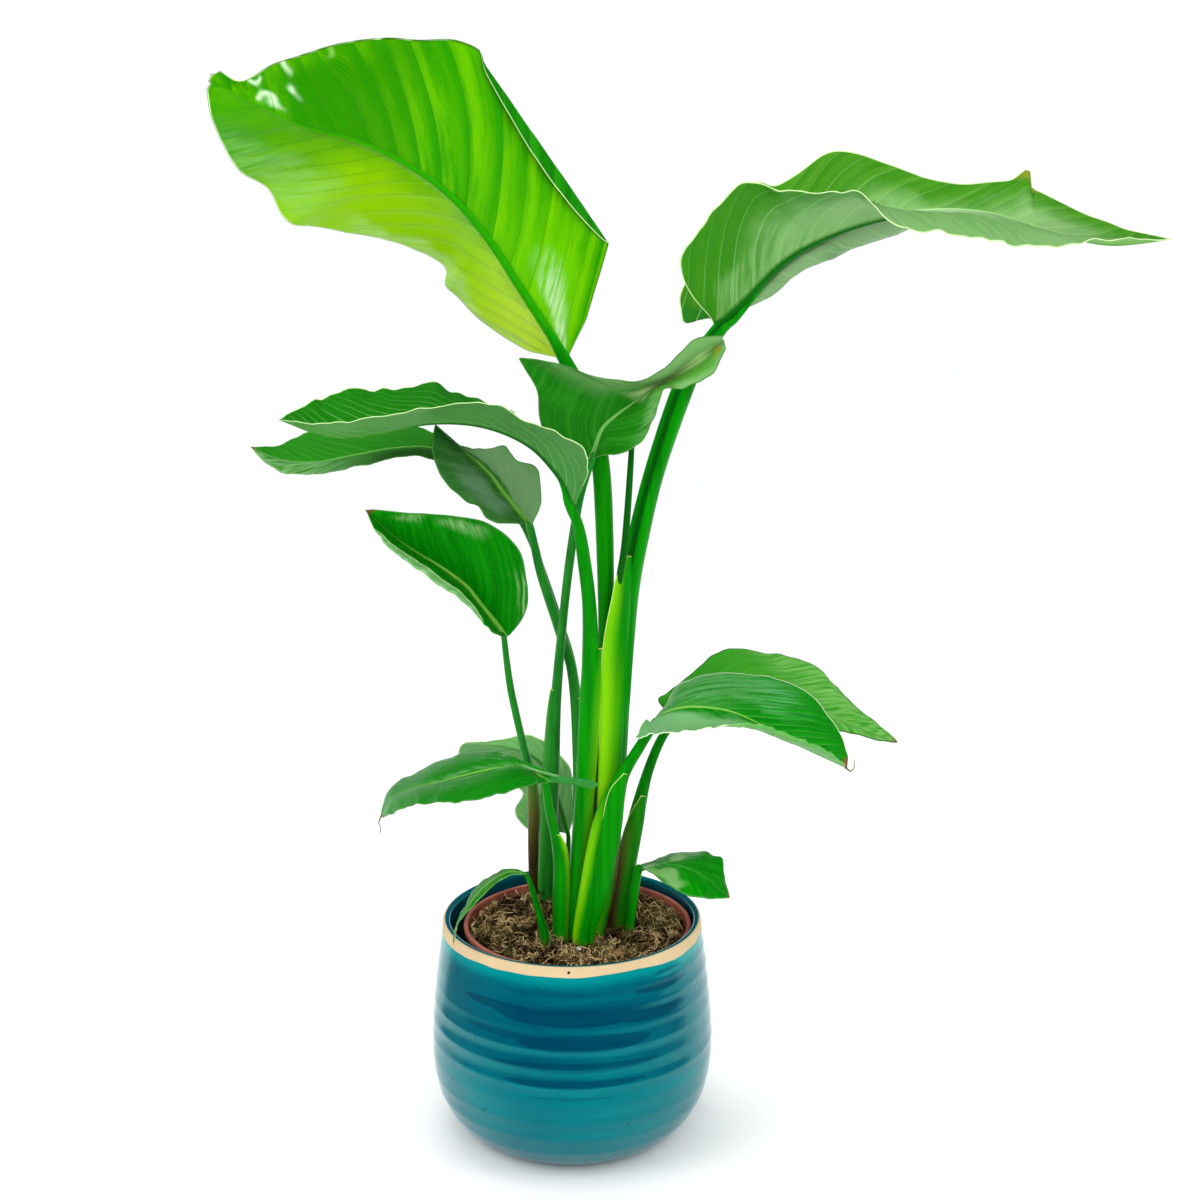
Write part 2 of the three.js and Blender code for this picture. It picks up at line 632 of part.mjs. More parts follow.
// The root ball fills the growing pot. Every stalk stands in a plain hole of its own.
function soil() {
  const floor = TUB_WALL + CLEAR;
  const radius = (z) => tubRadius(z) - TUB_WALL - CLEAR;
  const top = SOIL_TOP - TUB_BASE;
  let body = turned([
    [0, floor],
    [radius(floor) - TUB_CHAMFER - CLEAR, floor],
    [radius(2 * TUB_CHAMFER), 2 * TUB_CHAMFER],
    [radius(top - SOIL_EDGE), top - SOIL_EDGE],
    [radius(top) - SOIL_EDGE, top],
    [SOIL_CROWN_RADIUS, top + 0.75 * SOIL_CROWN],
    [0, top + SOIL_CROWN],
  ], POT_SIDES).translate([TUB_OFFSET, 0, TUB_BASE]);
  const routes = [...Object.values(LEAVES).map((leaf) => leaf.stalk), SPEAR];
  for (const rows of routes) {
    const lowest = [...rows[0]];
    lowest[2] -= HOLE_CLEAR;
    body = body.subtract(stalk([lowest, rows[1], rows[2]], HOLE_RINGS, HOLE_CLEAR, NO_GROOVE));
  }
  return body;
}

const plant = new THREE.Group();
function addNode(name, solid, finish) {
  const mesh = new THREE.Mesh(toGeometry(solid), new THREE.MeshStandardMaterial(finish));
  mesh.name = name;
  plant.add(mesh);
}

const leafFinish = (color) => ({ color, roughness: LEAF_ROUGHNESS, metalness: 0 });

addNode('glazed_pot', glazedPot(), GLAZE);
addNode('nursery_pot', growingPot(), TUB_PLASTIC);
addNode('potting_soil', soil(), PEAT);
for (const [name, leaf] of Object.entries(LEAVES)) {
  addNode(name, leafSolid(leaf), leafFinish(leaf.colour));
}
addNode('spear', stalk(SPEAR, SPEAR_RINGS, 0, NO_GROOVE), leafFinish(SPEAR_COLOUR));

export default plant;
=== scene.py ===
"""Looks of a potted giant white bird of paradise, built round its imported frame.

Leaf, stalk and pot sizes are in millimetres, in the frame's axes: X right, Y to the back, Z up.
"""
import math
import bpy
import numpy as np
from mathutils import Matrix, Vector


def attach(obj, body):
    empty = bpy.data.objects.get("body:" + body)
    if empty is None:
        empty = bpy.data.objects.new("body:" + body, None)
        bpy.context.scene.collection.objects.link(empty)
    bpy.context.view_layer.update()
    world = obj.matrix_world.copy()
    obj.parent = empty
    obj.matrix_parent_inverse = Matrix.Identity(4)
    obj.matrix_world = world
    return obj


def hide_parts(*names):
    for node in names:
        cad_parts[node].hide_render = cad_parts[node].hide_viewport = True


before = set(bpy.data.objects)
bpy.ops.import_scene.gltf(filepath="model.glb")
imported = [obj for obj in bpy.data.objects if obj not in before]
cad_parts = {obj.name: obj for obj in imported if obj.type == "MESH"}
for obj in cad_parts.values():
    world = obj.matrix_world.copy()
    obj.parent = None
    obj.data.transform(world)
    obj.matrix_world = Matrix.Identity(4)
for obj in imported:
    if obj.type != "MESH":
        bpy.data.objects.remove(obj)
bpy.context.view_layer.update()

MM = 0.001
TAU = 2 * math.pi
SEED = 7


# Colours and node helpers

def srgb(colour):
    """A colour of three numbers from 0 to 255, in linear light."""
    channels = [c / 255 for c in colour]
    linear = [c / 12.92 if c <= 0.04045 else ((c + 0.055) / 1.055) ** 2.4 for c in channels]
    return (*linear, 1.0)


class Shader:
    """A node material with one Principled shader, and short ways to add nodes to it.

    Values are numbers or the outputs of other nodes. A colour is three numbers from 0 to 255.
    """

    def __init__(self, name, roughness=0.5, specular=0.5, tint=(255, 255, 255)):
        self.material = bpy.data.materials.new(name)
        self.material.use_nodes = True
        self.tree = self.material.node_tree
        self.surface = self.tree.nodes["Principled BSDF"]
        looks = {"Roughness": roughness, "Specular IOR Level": specular, "Specular Tint": tint}
        self.fill(self.surface, looks)

    def fill(self, node, inputs):
        for key, value in inputs.items():
            socket = node.inputs[key]
            if isinstance(value, bpy.types.NodeSocket):
                self.tree.links.new(value, socket)
            else:
                socket.default_value = srgb(value) if socket.type == "RGBA" else value

    def node(self, kind, inputs, **settings):
        made = self.tree.nodes.new(kind)
        for key, value in settings.items():
            setattr(made, key, value)
        self.fill(made, inputs)
        return made

    def place(self):
        """The point of the surface in metres, in the frame."""
        return self.node("ShaderNodeTexCoord", {}).outputs["Object"]

    def attribute(self, name):
        return self.node("ShaderNodeAttribute", {}, attribute_name=name).outputs["Fac"]

    def math(self, operation, a, b=0.0):
        return self.node("ShaderNodeMath", {0: a, 1: b}, operation=operation).outputs[0]

    def times(self, a, b):
        return self.math("MULTIPLY", a, b)

    def plus(self, a, b):
        return self.math("ADD", a, b)

    def minus(self, a, b):
        return self.math("SUBTRACT", a, b)

    def vector(self, operation, a, b):
        return self.node("ShaderNodeVectorMath", {0: a, 1: b}, operation=operation).outputs

    def noise(self, scale, detail=3.0, roughness=0.5, vector=None, stretch=None, output="Fac"):
        vector = vector or self.place()
        if stretch:
            vector = self.vector("MULTIPLY", vector, stretch)[0]
        inputs = {"Vector": vector, "Scale": scale, "Detail": detail, "Roughness": roughness}
        return self.node("ShaderNodeTexNoise", inputs).outputs[output]

    def cells(self, scale, **settings):
        inputs = {"Vector": self.place(), "Scale": scale}
        return self.node("ShaderNodeTexVoronoi", inputs, **settings).outputs["Distance"]

    def step(self, value, low, high, bottom=0.0, top=1.0):
        """A smooth step of value from low to high."""
        inputs = {0: value, 1: low, 2: high, 3: bottom, 4: top}
        return self.node("ShaderNodeMapRange", inputs, interpolation_type="SMOOTHSTEP").outputs[0]

    def band(self, value, low, rise, fall, high):
        """1 between rise and fall, easing to 0 at low and high."""
        return self.times(self.step(value, low, rise), self.step(value, high, fall))

    def mix(self, share, first, second):
        inputs = {0: share, 6: first, 7: second}
        return self.node("ShaderNodeMix", inputs, data_type="RGBA").outputs[2]

    def ramp(self, value, stops):
        made = self.node("ShaderNodeValToRGB", {0: value})
        elements = made.color_ramp.elements
        for k, (at, colour) in enumerate(stops):
            element = elements[k] if k < 2 else elements.new(at)
            element.position = at
            element.color = srgb(colour)
        return made.outputs[0]

    def bump(self, height, distance, strength=1.0, below=None):
        inputs = {"Height": height, "Distance": distance, "Strength": strength}
        if below is not None:
            inputs["Normal"] = below
        return self.node("ShaderNodeBump", inputs).outputs[0]

    def finish(self, colour, roughness=None, normal=None):
        looks = {"Base Color": colour, "Roughness": roughness, "Normal": normal}
        self.fill(self.surface, {key: value for key, value in looks.items() if value is not None})
        return self.material


# Mesh helpers

def spline(points, at):
    """Points and slopes of a smooth curve through the given points, at shares 0 to 1 of its spans."""
    p = np.asarray(points, float)
    p = np.vstack([2 * p[0] - p[1], p, 2 * p[-1] - p[-2]])
    s = np.clip(np.asarray(at, float), 0, 1) * (len(p) - 3)
    i = np.minimum(s.astype(int), len(p) - 4)
    w = (s - i)[:, None]
    before, here, there, after = p[i], p[i + 1], p[i + 2], p[i + 3]
    leave, arrive = (there - before) / 2, (after - here) / 2
    square = 3 * (there - here) - 2 * leave - arrive
    cube = 2 * (here - there) + leave + arrive
    return here + w * (leave + w * (square + w * cube)), leave + w * (2 * square + 3 * w * cube)


def unit(v):
    return v / np.maximum(np.linalg.norm(v, axis=-1, keepdims=True), 1e-9)


def smooth(x, low, high):
    t = np.clip((x - low) / (high - low), 0, 1)
    return t * t * (3 - 2 * t)


def travelled(points, axis=0):
    """How far each point lies from the first one of its row, measured along the row."""
    spans = np.linalg.norm(np.diff(points, axis=axis), axis=-1)
    return np.concatenate([np.zeros_like(spans.take([0], axis)), np.cumsum(spans, axis=axis)], axis)


def circle(sides):
    return TAU * np.arange(sides) / sides


def signed(angles, zero):
    """Angles in radians from the given one in degrees, between half a turn back and half a turn on."""
    return (angles - math.radians(zero) + math.pi) % TAU - math.pi


def ring(radius, height, angles, shift=0.0):
    """Points round an upright axis at x = shift. Radius and height may differ round it."""
    x, y = shift + radius * np.cos(angles), radius * np.sin(angles)
    return np.stack([x, y, np.broadcast_to(height, angles.shape)], 1)


def waves(x, length, seed, parts=3):
    """A gentle irregular wave between about -1 and 1."""
    rng = np.random.default_rng(seed)
    total = np.zeros_like(x)
    for k in range(parts):
        stretch = 1 + 0.62 * k
        total += np.sin(TAU * (x * stretch / length + rng.random())) / stretch
    return total / 1.4


def grid_faces(rows, columns, closed=False, flip=False):
    """Quads between the points of a grid, which may close round in its columns."""
    i, j = np.meshgrid(np.arange(rows - 1), np.arange(columns if closed else columns - 1), indexing="ij")
    k = (j + 1) % columns
    below = (i + 1) * columns
    quads = np.stack([i * columns + j, i * columns + k, below + k, below + j], -1).reshape(-1, 4)
    return quads[:, ::-1] if flip else quads


def link(name, data):
    """A new object of the scene with this mesh, light or camera."""
    made = bpy.data.objects.new(name, data)
    bpy.context.collection.objects.link(made)
    return made


def point_values(mesh, name, values):
    layer = mesh.attributes.new(name, "FLOAT", "POINT")
    layer.data.foreach_set("value", values.astype(np.float32))


class Build:
    """Collects points, faces, material numbers and point values of one piece."""

    def __init__(self):
        self.points, self.faces, self.slots, self.values = [], [], [], {}
        self.count = 0

    def join(self, faces, slot):
        """Faces between points already added, numbered from the piece's first point."""
        self.faces.extend(np.asarray(faces).tolist())
        self.slots.extend([slot] * len(faces))

    def add(self, points, faces, slot, **values):
        """New points and the faces between them, numbered from the first new point."""
        points = points.reshape(-1, 3)
        for name in dict.fromkeys([*self.values, *values]):
            rows = self.values.setdefault(name, [np.zeros(self.count)])
            rows.append(np.broadcast_to(np.ravel(values.get(name, 0.0)), len(points)))
        self.points.append(points)
        self.join(faces + self.count, slot)
        self.count += len(points)

    def pipe(self, rings, slot=0, **values):
        """A surface through closed rings of points, with a face over each end."""
        rows, columns = len(rings), len(rings[0])
        foot = self.count + np.arange(columns)
        self.add(np.array(rings), grid_faces(rows, columns, closed=True), slot, **values)
        self.join([foot[::-1], foot + (rows - 1) * columns], slot)

    def shell(self, top, bottom, slots, flip=False, **values):
        """Two sheets over the same grid, with walls between their edges."""
        rows, columns = top.shape[:2]
        size = rows * columns
        number = self.count + np.arange(size).reshape(rows, columns)
        self.add(top, grid_faces(rows, columns, flip=flip), slots[0], **values)
        self.add(bottom, grid_faces(rows, columns, flip=not flip), slots[1], **values)
        edges = (number[:, 0], flip), (number[:, -1], not flip), (number[0], not flip), (number[-1], flip)
        for line, turned in edges:
            quads = np.stack([line[:-1], line[1:], line[1:] + size, line[:-1] + size], 1)
            self.join(quads[:, ::-1] if turned else quads, slots[0])

    def piece(self, name, materials, nodes=(), slot=None):
        mesh = bpy.data.meshes.new(name)
        mesh.from_pydata((np.vstack(self.points) * MM).tolist(), [], self.faces)
        for material in materials:
            mesh.materials.append(material)
        mesh.polygons.foreach_set("material_index", np.array(self.slots, dtype=np.int32))
        mesh.polygons.foreach_set("use_smooth", np.ones(len(self.faces), dtype=bool))
        for key, rows in self.values.items():
            point_values(mesh, key, np.concatenate(rows))
        mesh.validate()
        made = link(name, mesh)
        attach(made, "root")
        if nodes:
            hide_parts(*nodes)


# Leaf shapes: the frame's own curves. A stalk's rows are x, y, z, half width and half depth. The rib and the
# left and right margins are rows of x, y and z, from the stalk to the tip.
LEAVES = {
    "leaf_a": dict(
        stalk=[[9, -10, 160, 5, 5], [9, -10, 195, 5.5, 5], [12, -8, 233, 6, 5], [20, -7, 330, 6, 5.5],
            [27, -7, 406, 6, 5.5], [30, -9, 456, 6.5, 6], [29, -13, 544, 7.5, 6.5], [25, -17, 612, 7.5, 6],
            [14, -24, 660, 6, 5]],
        rib=[[-3, -30, 695], [-17, -36, 720], [-39, -45, 755], [-64, -55, 794], [-92, -68, 827],
            [-125, -82, 851], [-161, -96, 868], [-201, -108, 879], [-266, -118, 911]],
        left=[[-1, -26, 698], [17, -15, 736], [32, -8, 788], [-7, -15, 844], [-73, -38, 937],
            [-122, -58, 945], [-169, -76, 941], [-213, -92, 927], [-266, -116, 913]],
        right=[[-4, -26, 696], [-31, -6, 700], [-60, 4, 714], [-89, 4, 740], [-106, -2, 773],
            [-177, -30, 802], [-221, -56, 813], [-253, -78, 845], [-268, -98, 879], [-269, -116, 908]],
        rib_depth=4.5),
    "leaf_b": dict(
        stalk=[[24, -17, 160, 6.5, 6.5], [24, -17, 195, 7, 7], [31, -16, 233, 8, 7], [37, -16, 320, 9.5, 8],
            [41, -17, 405, 10, 8], [48, -18, 492, 9.5, 8], [57, -17, 544, 9, 7.5], [71, -14, 602, 8.5, 7.5],
            [94, -10, 670, 9, 7], [108, -9, 697, 7, 6]],
        rib=[[121, -8, 720], [145, -14, 744], [173, -20, 773], [203, -26, 792], [240, -32, 806],
            [284, -38, 815], [331, -44, 814], [374, -50, 802], [425, -56, 789], [476, -62, 793]],
        left=[[123, -2, 724], [92, 25, 744], [148, 55, 830], [177, 65, 835], [223, 70, 862], [267, 66, 853],
            [312, 55, 837], [376, 40, 834], [442, 5, 804], [475, -60, 793]],
        right=[[118, -12, 725], [92, -45, 767], [130, -70, 833], [171, -85, 830], [226, -92, 827],
            [251, -97, 805], [302, -97, 797], [365, -92, 788], [421, -84, 794], [474, -64, 792]],
        sag_left=14, rib_depth=4.5),
    "leaf_c": dict(
        stalk=[[-24, 52, 160, 6, 6], [-24, 52, 195, 6.5, 6.5], [-22, 47, 240, 7, 6.5],
            [-18, 38, 314, 6.5, 6], [-14, 22, 393, 5, 5], [-7, 4, 470, 4, 4], [0, -12, 530, 4, 4],
            [8, -25, 580, 3.5, 3.5]],
        rib=[[18, -34, 614], [22, -36, 627], [27, -36, 640], [36, -36, 649], [50, -35, 659], [66, -33, 670],
            [86, -31, 683], [107, -30, 697], [126, -30, 711]],
        left=[[15, -34, 616], [-20, -50, 639], [-26, -58, 674], [-37, -60, 698], [-7, -62, 695],
            [29, -62, 682], [65, -58, 683], [101, -48, 713], [126, -34, 716]],
        right=[[21, -36, 616], [30, -44, 619], [44, -52, 622], [58, -60, 632], [68, -66, 651],
            [76, -68, 674], [92, -64, 676], [115, -52, 686], [129, -34, 708]],
        rib_depth=2.4),
    "leaf_d": dict(
        stalk=[[4, -25, 160, 6.5, 6.5], [4, -25, 195, 7, 7], [5, -25, 233, 8, 7], [11, -25, 320, 8, 7],
            [16, -26, 406, 8.5, 6.5], [17, -28, 440, 7.5, 6], [16, -32, 490, 6, 5.5],
            [11, -37, 535, 5.5, 5], [7, -41, 560, 4.5, 4.5]],
        rib=[[3, -42, 573], [-3, -46, 593], [-13, -49, 609], [-30, -52, 627], [-54, -55, 640],
            [-82, -58, 647], [-116, -60, 647], [-152, -62, 639], [-192, -66, 637], [-232, -72, 652]],
        left=[[6, -44, 582], [15, -76, 610], [12, -98, 632], [-9, -112, 647], [-34, -120, 658],
            [-58, -125, 671], [-94, -128, 670], [-140, -126, 662], [-189, -112, 654], [-230, -76, 652]],
        right=[[0, -40, 577], [-8, -20, 603], [-21, -5, 622], [-42, 5, 642], [-69, 10, 655], [-89, 12, 661],
            [-118, 10, 672], [-155, 5, 665], [-202, -20, 663], [-232, -68, 653]],
        rib_depth=3),
    "leaf_e": dict(
        stalk=[[13, 50, 160, 4, 4], [13, 50, 195, 4.5, 4.5], [12, 47, 250, 5, 4.5], [8, 43, 340, 4.5, 4],
            [2, 40, 414, 3, 3], [-11, 35, 462, 3, 3], [-28, 30, 515, 3, 3], [-37, 31, 538, 2.8, 2.8]],
        rib=[[-41, 32, 548], [-57, 28, 570], [-82, 22, 598], [-116, 16, 616], [-149, 10, 617],
            [-182, 4, 612], [-215, -2, 607], [-244, -6, 610], [-267, -10, 621]],
        left=[[-43, 26, 550], [-64, 8, 570], [-91, -8, 589], [-115, -22, 613], [-142, -30, 615],
            [-185, -34, 606], [-223, -32, 601], [-249, -24, 607], [-266, -12, 620]],
        right=[[-39, 34, 551], [-45, 44, 576], [-71, 55, 600], [-111, 62, 619], [-150, 62, 633],
            [-188, 54, 632], [-221, 40, 629], [-247, 18, 619], [-266, -6, 620]],
        rib_depth=2.2),
    "leaf_f": dict(
        stalk=[[6, 28, 160, 5, 5], [6, 28, 195, 5.5, 5.5], [7, 28, 250, 6, 5.5], [6, 27, 340, 5.5, 5],
            [1, 24, 414, 4.6, 4.6], [-10, 19, 455, 4.4, 4.4], [-25, 13, 505, 4.2, 4.2],
            [-31, 10, 532, 3.6, 3.6]],
        rib=[[-34, 8, 550], [-43, 6, 562], [-52, 4, 574], [-59, 2, 583], [-65, 0, 593], [-76, -2, 605],
            [-88, -5, 616], [-100, -8, 628], [-112, -12, 640]],
        left=[[-37, 4, 553], [-55, -10, 556], [-68, -18, 560], [-87, -24, 577], [-100, -27, 590],
            [-108, -28, 601], [-113, -26, 615], [-114, -21, 628], [-113, -13, 638]],
        right=[[-32, 6, 554], [-25, -2, 571], [-25, -8, 588], [-28, -12, 604], [-43, -15, 610],
            [-57, -16, 621], [-73, -16, 620], [-93, -16, 624], [-112, -13, 639]],
        rib_depth=2.4),
    "leaf_g": dict(
        stalk=[[-36, 66, 160, 4.5, 4.5], [-36, 66, 195, 4.8, 4.8], [-36, 58, 240, 5.3, 5],
            [-36, 46, 304, 5, 4.8], [-43, 32, 345, 3.6, 3.6], [-53, 20, 400, 3.3, 3.3],
            [-57, 14, 436, 2.8, 2.8]],
        rib=[[-57, 12, 451], [-67, 10, 466], [-78, 8, 481], [-89, 5, 497], [-102, 2, 509], [-115, -1, 519],
            [-133, -4, 531], [-153, -8, 547], [-172, -14, 568]],
        left=[[-59, 6, 453], [-69, -14, 464], [-78, -28, 479], [-92, -36, 496], [-109, -38, 508],
            [-128, -38, 523], [-147, -34, 536], [-162, -26, 551], [-171, -16, 567]],
        right=[[-53, 12, 454], [-43, 10, 467], [-37, 6, 484], [-38, 2, 506], [-44, -2, 532], [-67, -5, 554],
            [-98, -7, 562], [-135, -9, 565], [-170, -13, 569]],
        rib_depth=2.2),
    "leaf_h": dict(
        stalk=[[-10.5, -30, 160, 6, 6], [-10.5, -30, 195, 6.3, 6], [-10, -30, 233, 6.5, 6],
            [-10, -32, 258, 5.5, 5.5], [-13, -38, 285, 4.3, 4.3], [-18, -45, 312, 4, 4],
            [-20, -48, 328, 3.4, 3.4]],
        rib=[[-20, -50, 340], [-33, -50, 350], [-47, -51, 356], [-66, -52, 353], [-87, -53, 348],
            [-107, -54, 343], [-129, -55, 338], [-150, -56, 329], [-161, -58, 312]],
        left=[[-22, -54, 340], [-27, -74, 347], [-39, -90, 349], [-60, -100, 346], [-85, -105, 342],
            [-109, -105, 341], [-132, -96, 335], [-147, -82, 324], [-160, -62, 312]],
        right=[[-17, -50, 340], [22, -56, 341], [-5, -52, 344], [-35, -44, 355], [-62, -20, 357],
            [-90, -2, 351], [-115, 0, 343], [-137, -8, 334], [-156, -25, 327], [-162, -52, 313]],
        rib_depth=2.2),
    "leaf_i": dict(
        stalk=[[-6, 60, 160, 2.6, 2.6], [-6, 60, 195, 2.6, 2.6], [-5, 60, 225, 2.4, 2.4],
            [-4, 60, 246, 2.2, 2.2]],
        rib=[[-4, 60, 253], [-10, 62, 274], [-16, 64, 294], [-24, 66, 312], [-36, 67, 325], [-53, 68, 332],
            [-74, 68, 336], [-101, 66, 337]],
        left=[[-3, 62, 255], [2, 70, 271], [0, 76, 288], [-2, 82, 308], [-16, 86, 325], [-39, 86, 340],
            [-72, 82, 336], [-100, 70, 338]],
        right=[[-8, 62, 254], [-40, 70, 254], [-54, 78, 268], [-47, 86, 284], [-63, 90, 297],
            [-86, 88, 308], [-104, 80, 322], [-103, 70, 334]],
        rib_depth=1.8),
    "leaf_j": dict(
        stalk=[[10, -39.5, 160, 8, 4], [10, -39.5, 195, 9, 4.2], [18, -40, 233, 12, 4.5],
            [30, -39, 293, 13, 4.5], [38, -38, 325, 9, 4.5], [46, -37, 345, 5.5, 4.5],
            [60, -33, 368, 4.6, 4.2]],
        rib=[[70, -30, 387], [79, -33, 396], [96, -36, 402], [116, -40, 403], [137, -44, 400],
            [157, -48, 392], [180, -52, 380], [206, -56, 368], [233, -60, 356]],
        left=[[73, -26, 391], [80, -8, 393], [92, 12, 406], [115, 24, 414], [148, 30, 414], [179, 28, 410],
            [207, 14, 401], [230, -14, 377], [236, -52, 361]],
        right=[[67, -36, 387], [56, -60, 386], [72, -82, 393], [100, -94, 399], [128, -100, 405],
            [156, -100, 404], [181, -94, 393], [210, -82, 378], [231, -64, 359]],
        sag_right=7, rib_depth=2.6),
    "leaf_k": dict(
        stalk=[[41, -2, 160, 7, 6], [41, -2, 195, 8, 7], [47, -1, 240, 8.5, 7], [57, 1, 290, 7, 6],
            [65.5, 6, 325, 4.8, 4.8], [75, 13, 350, 4.2, 4.4], [83, 20, 363, 3.8, 3.8]],
        rib=[[89, 26, 371], [105, 26, 385], [126, 25, 395], [153, 23, 400], [183, 18, 397], [213, 12, 388],
            [240, 12, 375], [263, 6, 367], [285, 0, 360]],
        left=[[90, 30, 373], [77, 44, 386], [92, 58, 393], [116, 72, 410], [138, 80, 423], [172, 82, 420],
            [216, 66, 413], [249, 40, 385], [285, 4, 361]],
        right=[[86, 22, 371], [92, 8, 371], [112, -4, 380], [142, -10, 387], [173, -14, 383],
            [205, -8, 372], [238, -2, 370], [260, -6, 365], [284, -3, 360]],
        rib_depth=2.4),
    "leaf_m": dict(
        stalk=[[51, -17, 160, 3.8, 3.8], [51, -17, 195, 4.2, 4], [54, -16, 222, 4.8, 4],
            [57, -14, 240, 4.2, 3.4]],
        rib=[[58, -14, 250], [71, -18, 254], [86, -24, 256], [103, -32, 255], [119, -40, 248],
            [137, -48, 235]],
        left=[[60, -12, 251], [74, 0, 251], [91, 8, 255], [116, 4, 259], [130, -14, 251], [137, -44, 236]],
        right=[[60, -18, 250], [68, -34, 253], [81, -48, 248], [98, -56, 241], [116, -58, 238],
            [136, -50, 235]],
        rib_depth=1.8),
    "leaf_n": dict(
        stalk=[[-23, -41, 160, 4, 3.5], [-23, -41, 195, 4.2, 3.5], [-27, -43, 215, 3.2, 3],
            [-33, -47, 240, 2.4, 2.4], [-36, -49, 251, 2, 2]],
        rib=[[-38, -50, 258], [-52, -56, 262], [-65, -62, 258], [-78, -70, 249], [-88, -78, 237],
            [-96, -84, 225], [-99, -88, 209]],
        left=[[-38, -52, 258], [-53, -62, 260], [-67, -72, 254], [-80, -82, 243], [-90, -88, 234],
            [-97, -90, 223], [-99, -89, 209]],
        right=[[-39, -48, 258], [-52, -46, 261], [-66, -46, 256], [-81, -52, 247], [-90, -66, 235],
            [-95, -78, 227], [-98, -87, 210]],
        rib_depth=1.2),
}

SPEAR = [[13.5, -19, 160, 1.8, 1.8], [13.5, -19, 195, 2, 2], [19, -19, 240, 2.2, 2.2],
    [25, -20, 330, 2.4, 2.4], [29, -22, 405, 2.5, 2.5], [34, -25, 450, 2.8, 2.8], [41, -29, 510, 3, 3],
    [46, -29.5, 545, 3, 3], [51, -29, 620, 2.4, 2.4], [53, -27, 662, 0.8, 0.8]]

# A pale colour for painted sheen and painted highlights on the leaves
SHEEN = (176, 212, 150)
WHOLE = (-2, -1, 2, 3)

# How each leaf looks beyond its curves. A side is -1 for left and 1 for right, and shares run from 0 at the
# stalk to 1 at the tip.
# skin, stalk: names of paints; seed: of the margin's waves; groove: angle of the stalk's channel;
# rib: half width of the rib at its base; pleat: depth and spacing of the folds between side veins;
# slant: angle of the left and right veins to the rib; bulge: how far each half arches up;
# ripple: height and length of the margin's waves, left then right;
# hems: side, first and last share, width, roll radius, and the face that the margin is rolled over;
# straight: side, and the shares between which the margin is straight;
# pulls: side, share, spread before and after it, how closely it keeps to the margin, and the shift;
# folds: side, drop, where across the half it is deepest, first and last share;
# flush, stain, sheath_stain: angle, spread, lowest and highest height of yellow and brown marks;
# upper, under: washes over that face, as leaf_paint says, some of them painted sheen, highlights and shade;
# paint: values for leaf_paint itself.
LOOK_DEFAULTS = dict(
    stalk="bright", groove=90, bulge=(2, 2), straight=(), pulls=(), folds=(), hems=(), flush=(), stain=(),
    sheath_stain=(), upper=(), under=(), paint={})
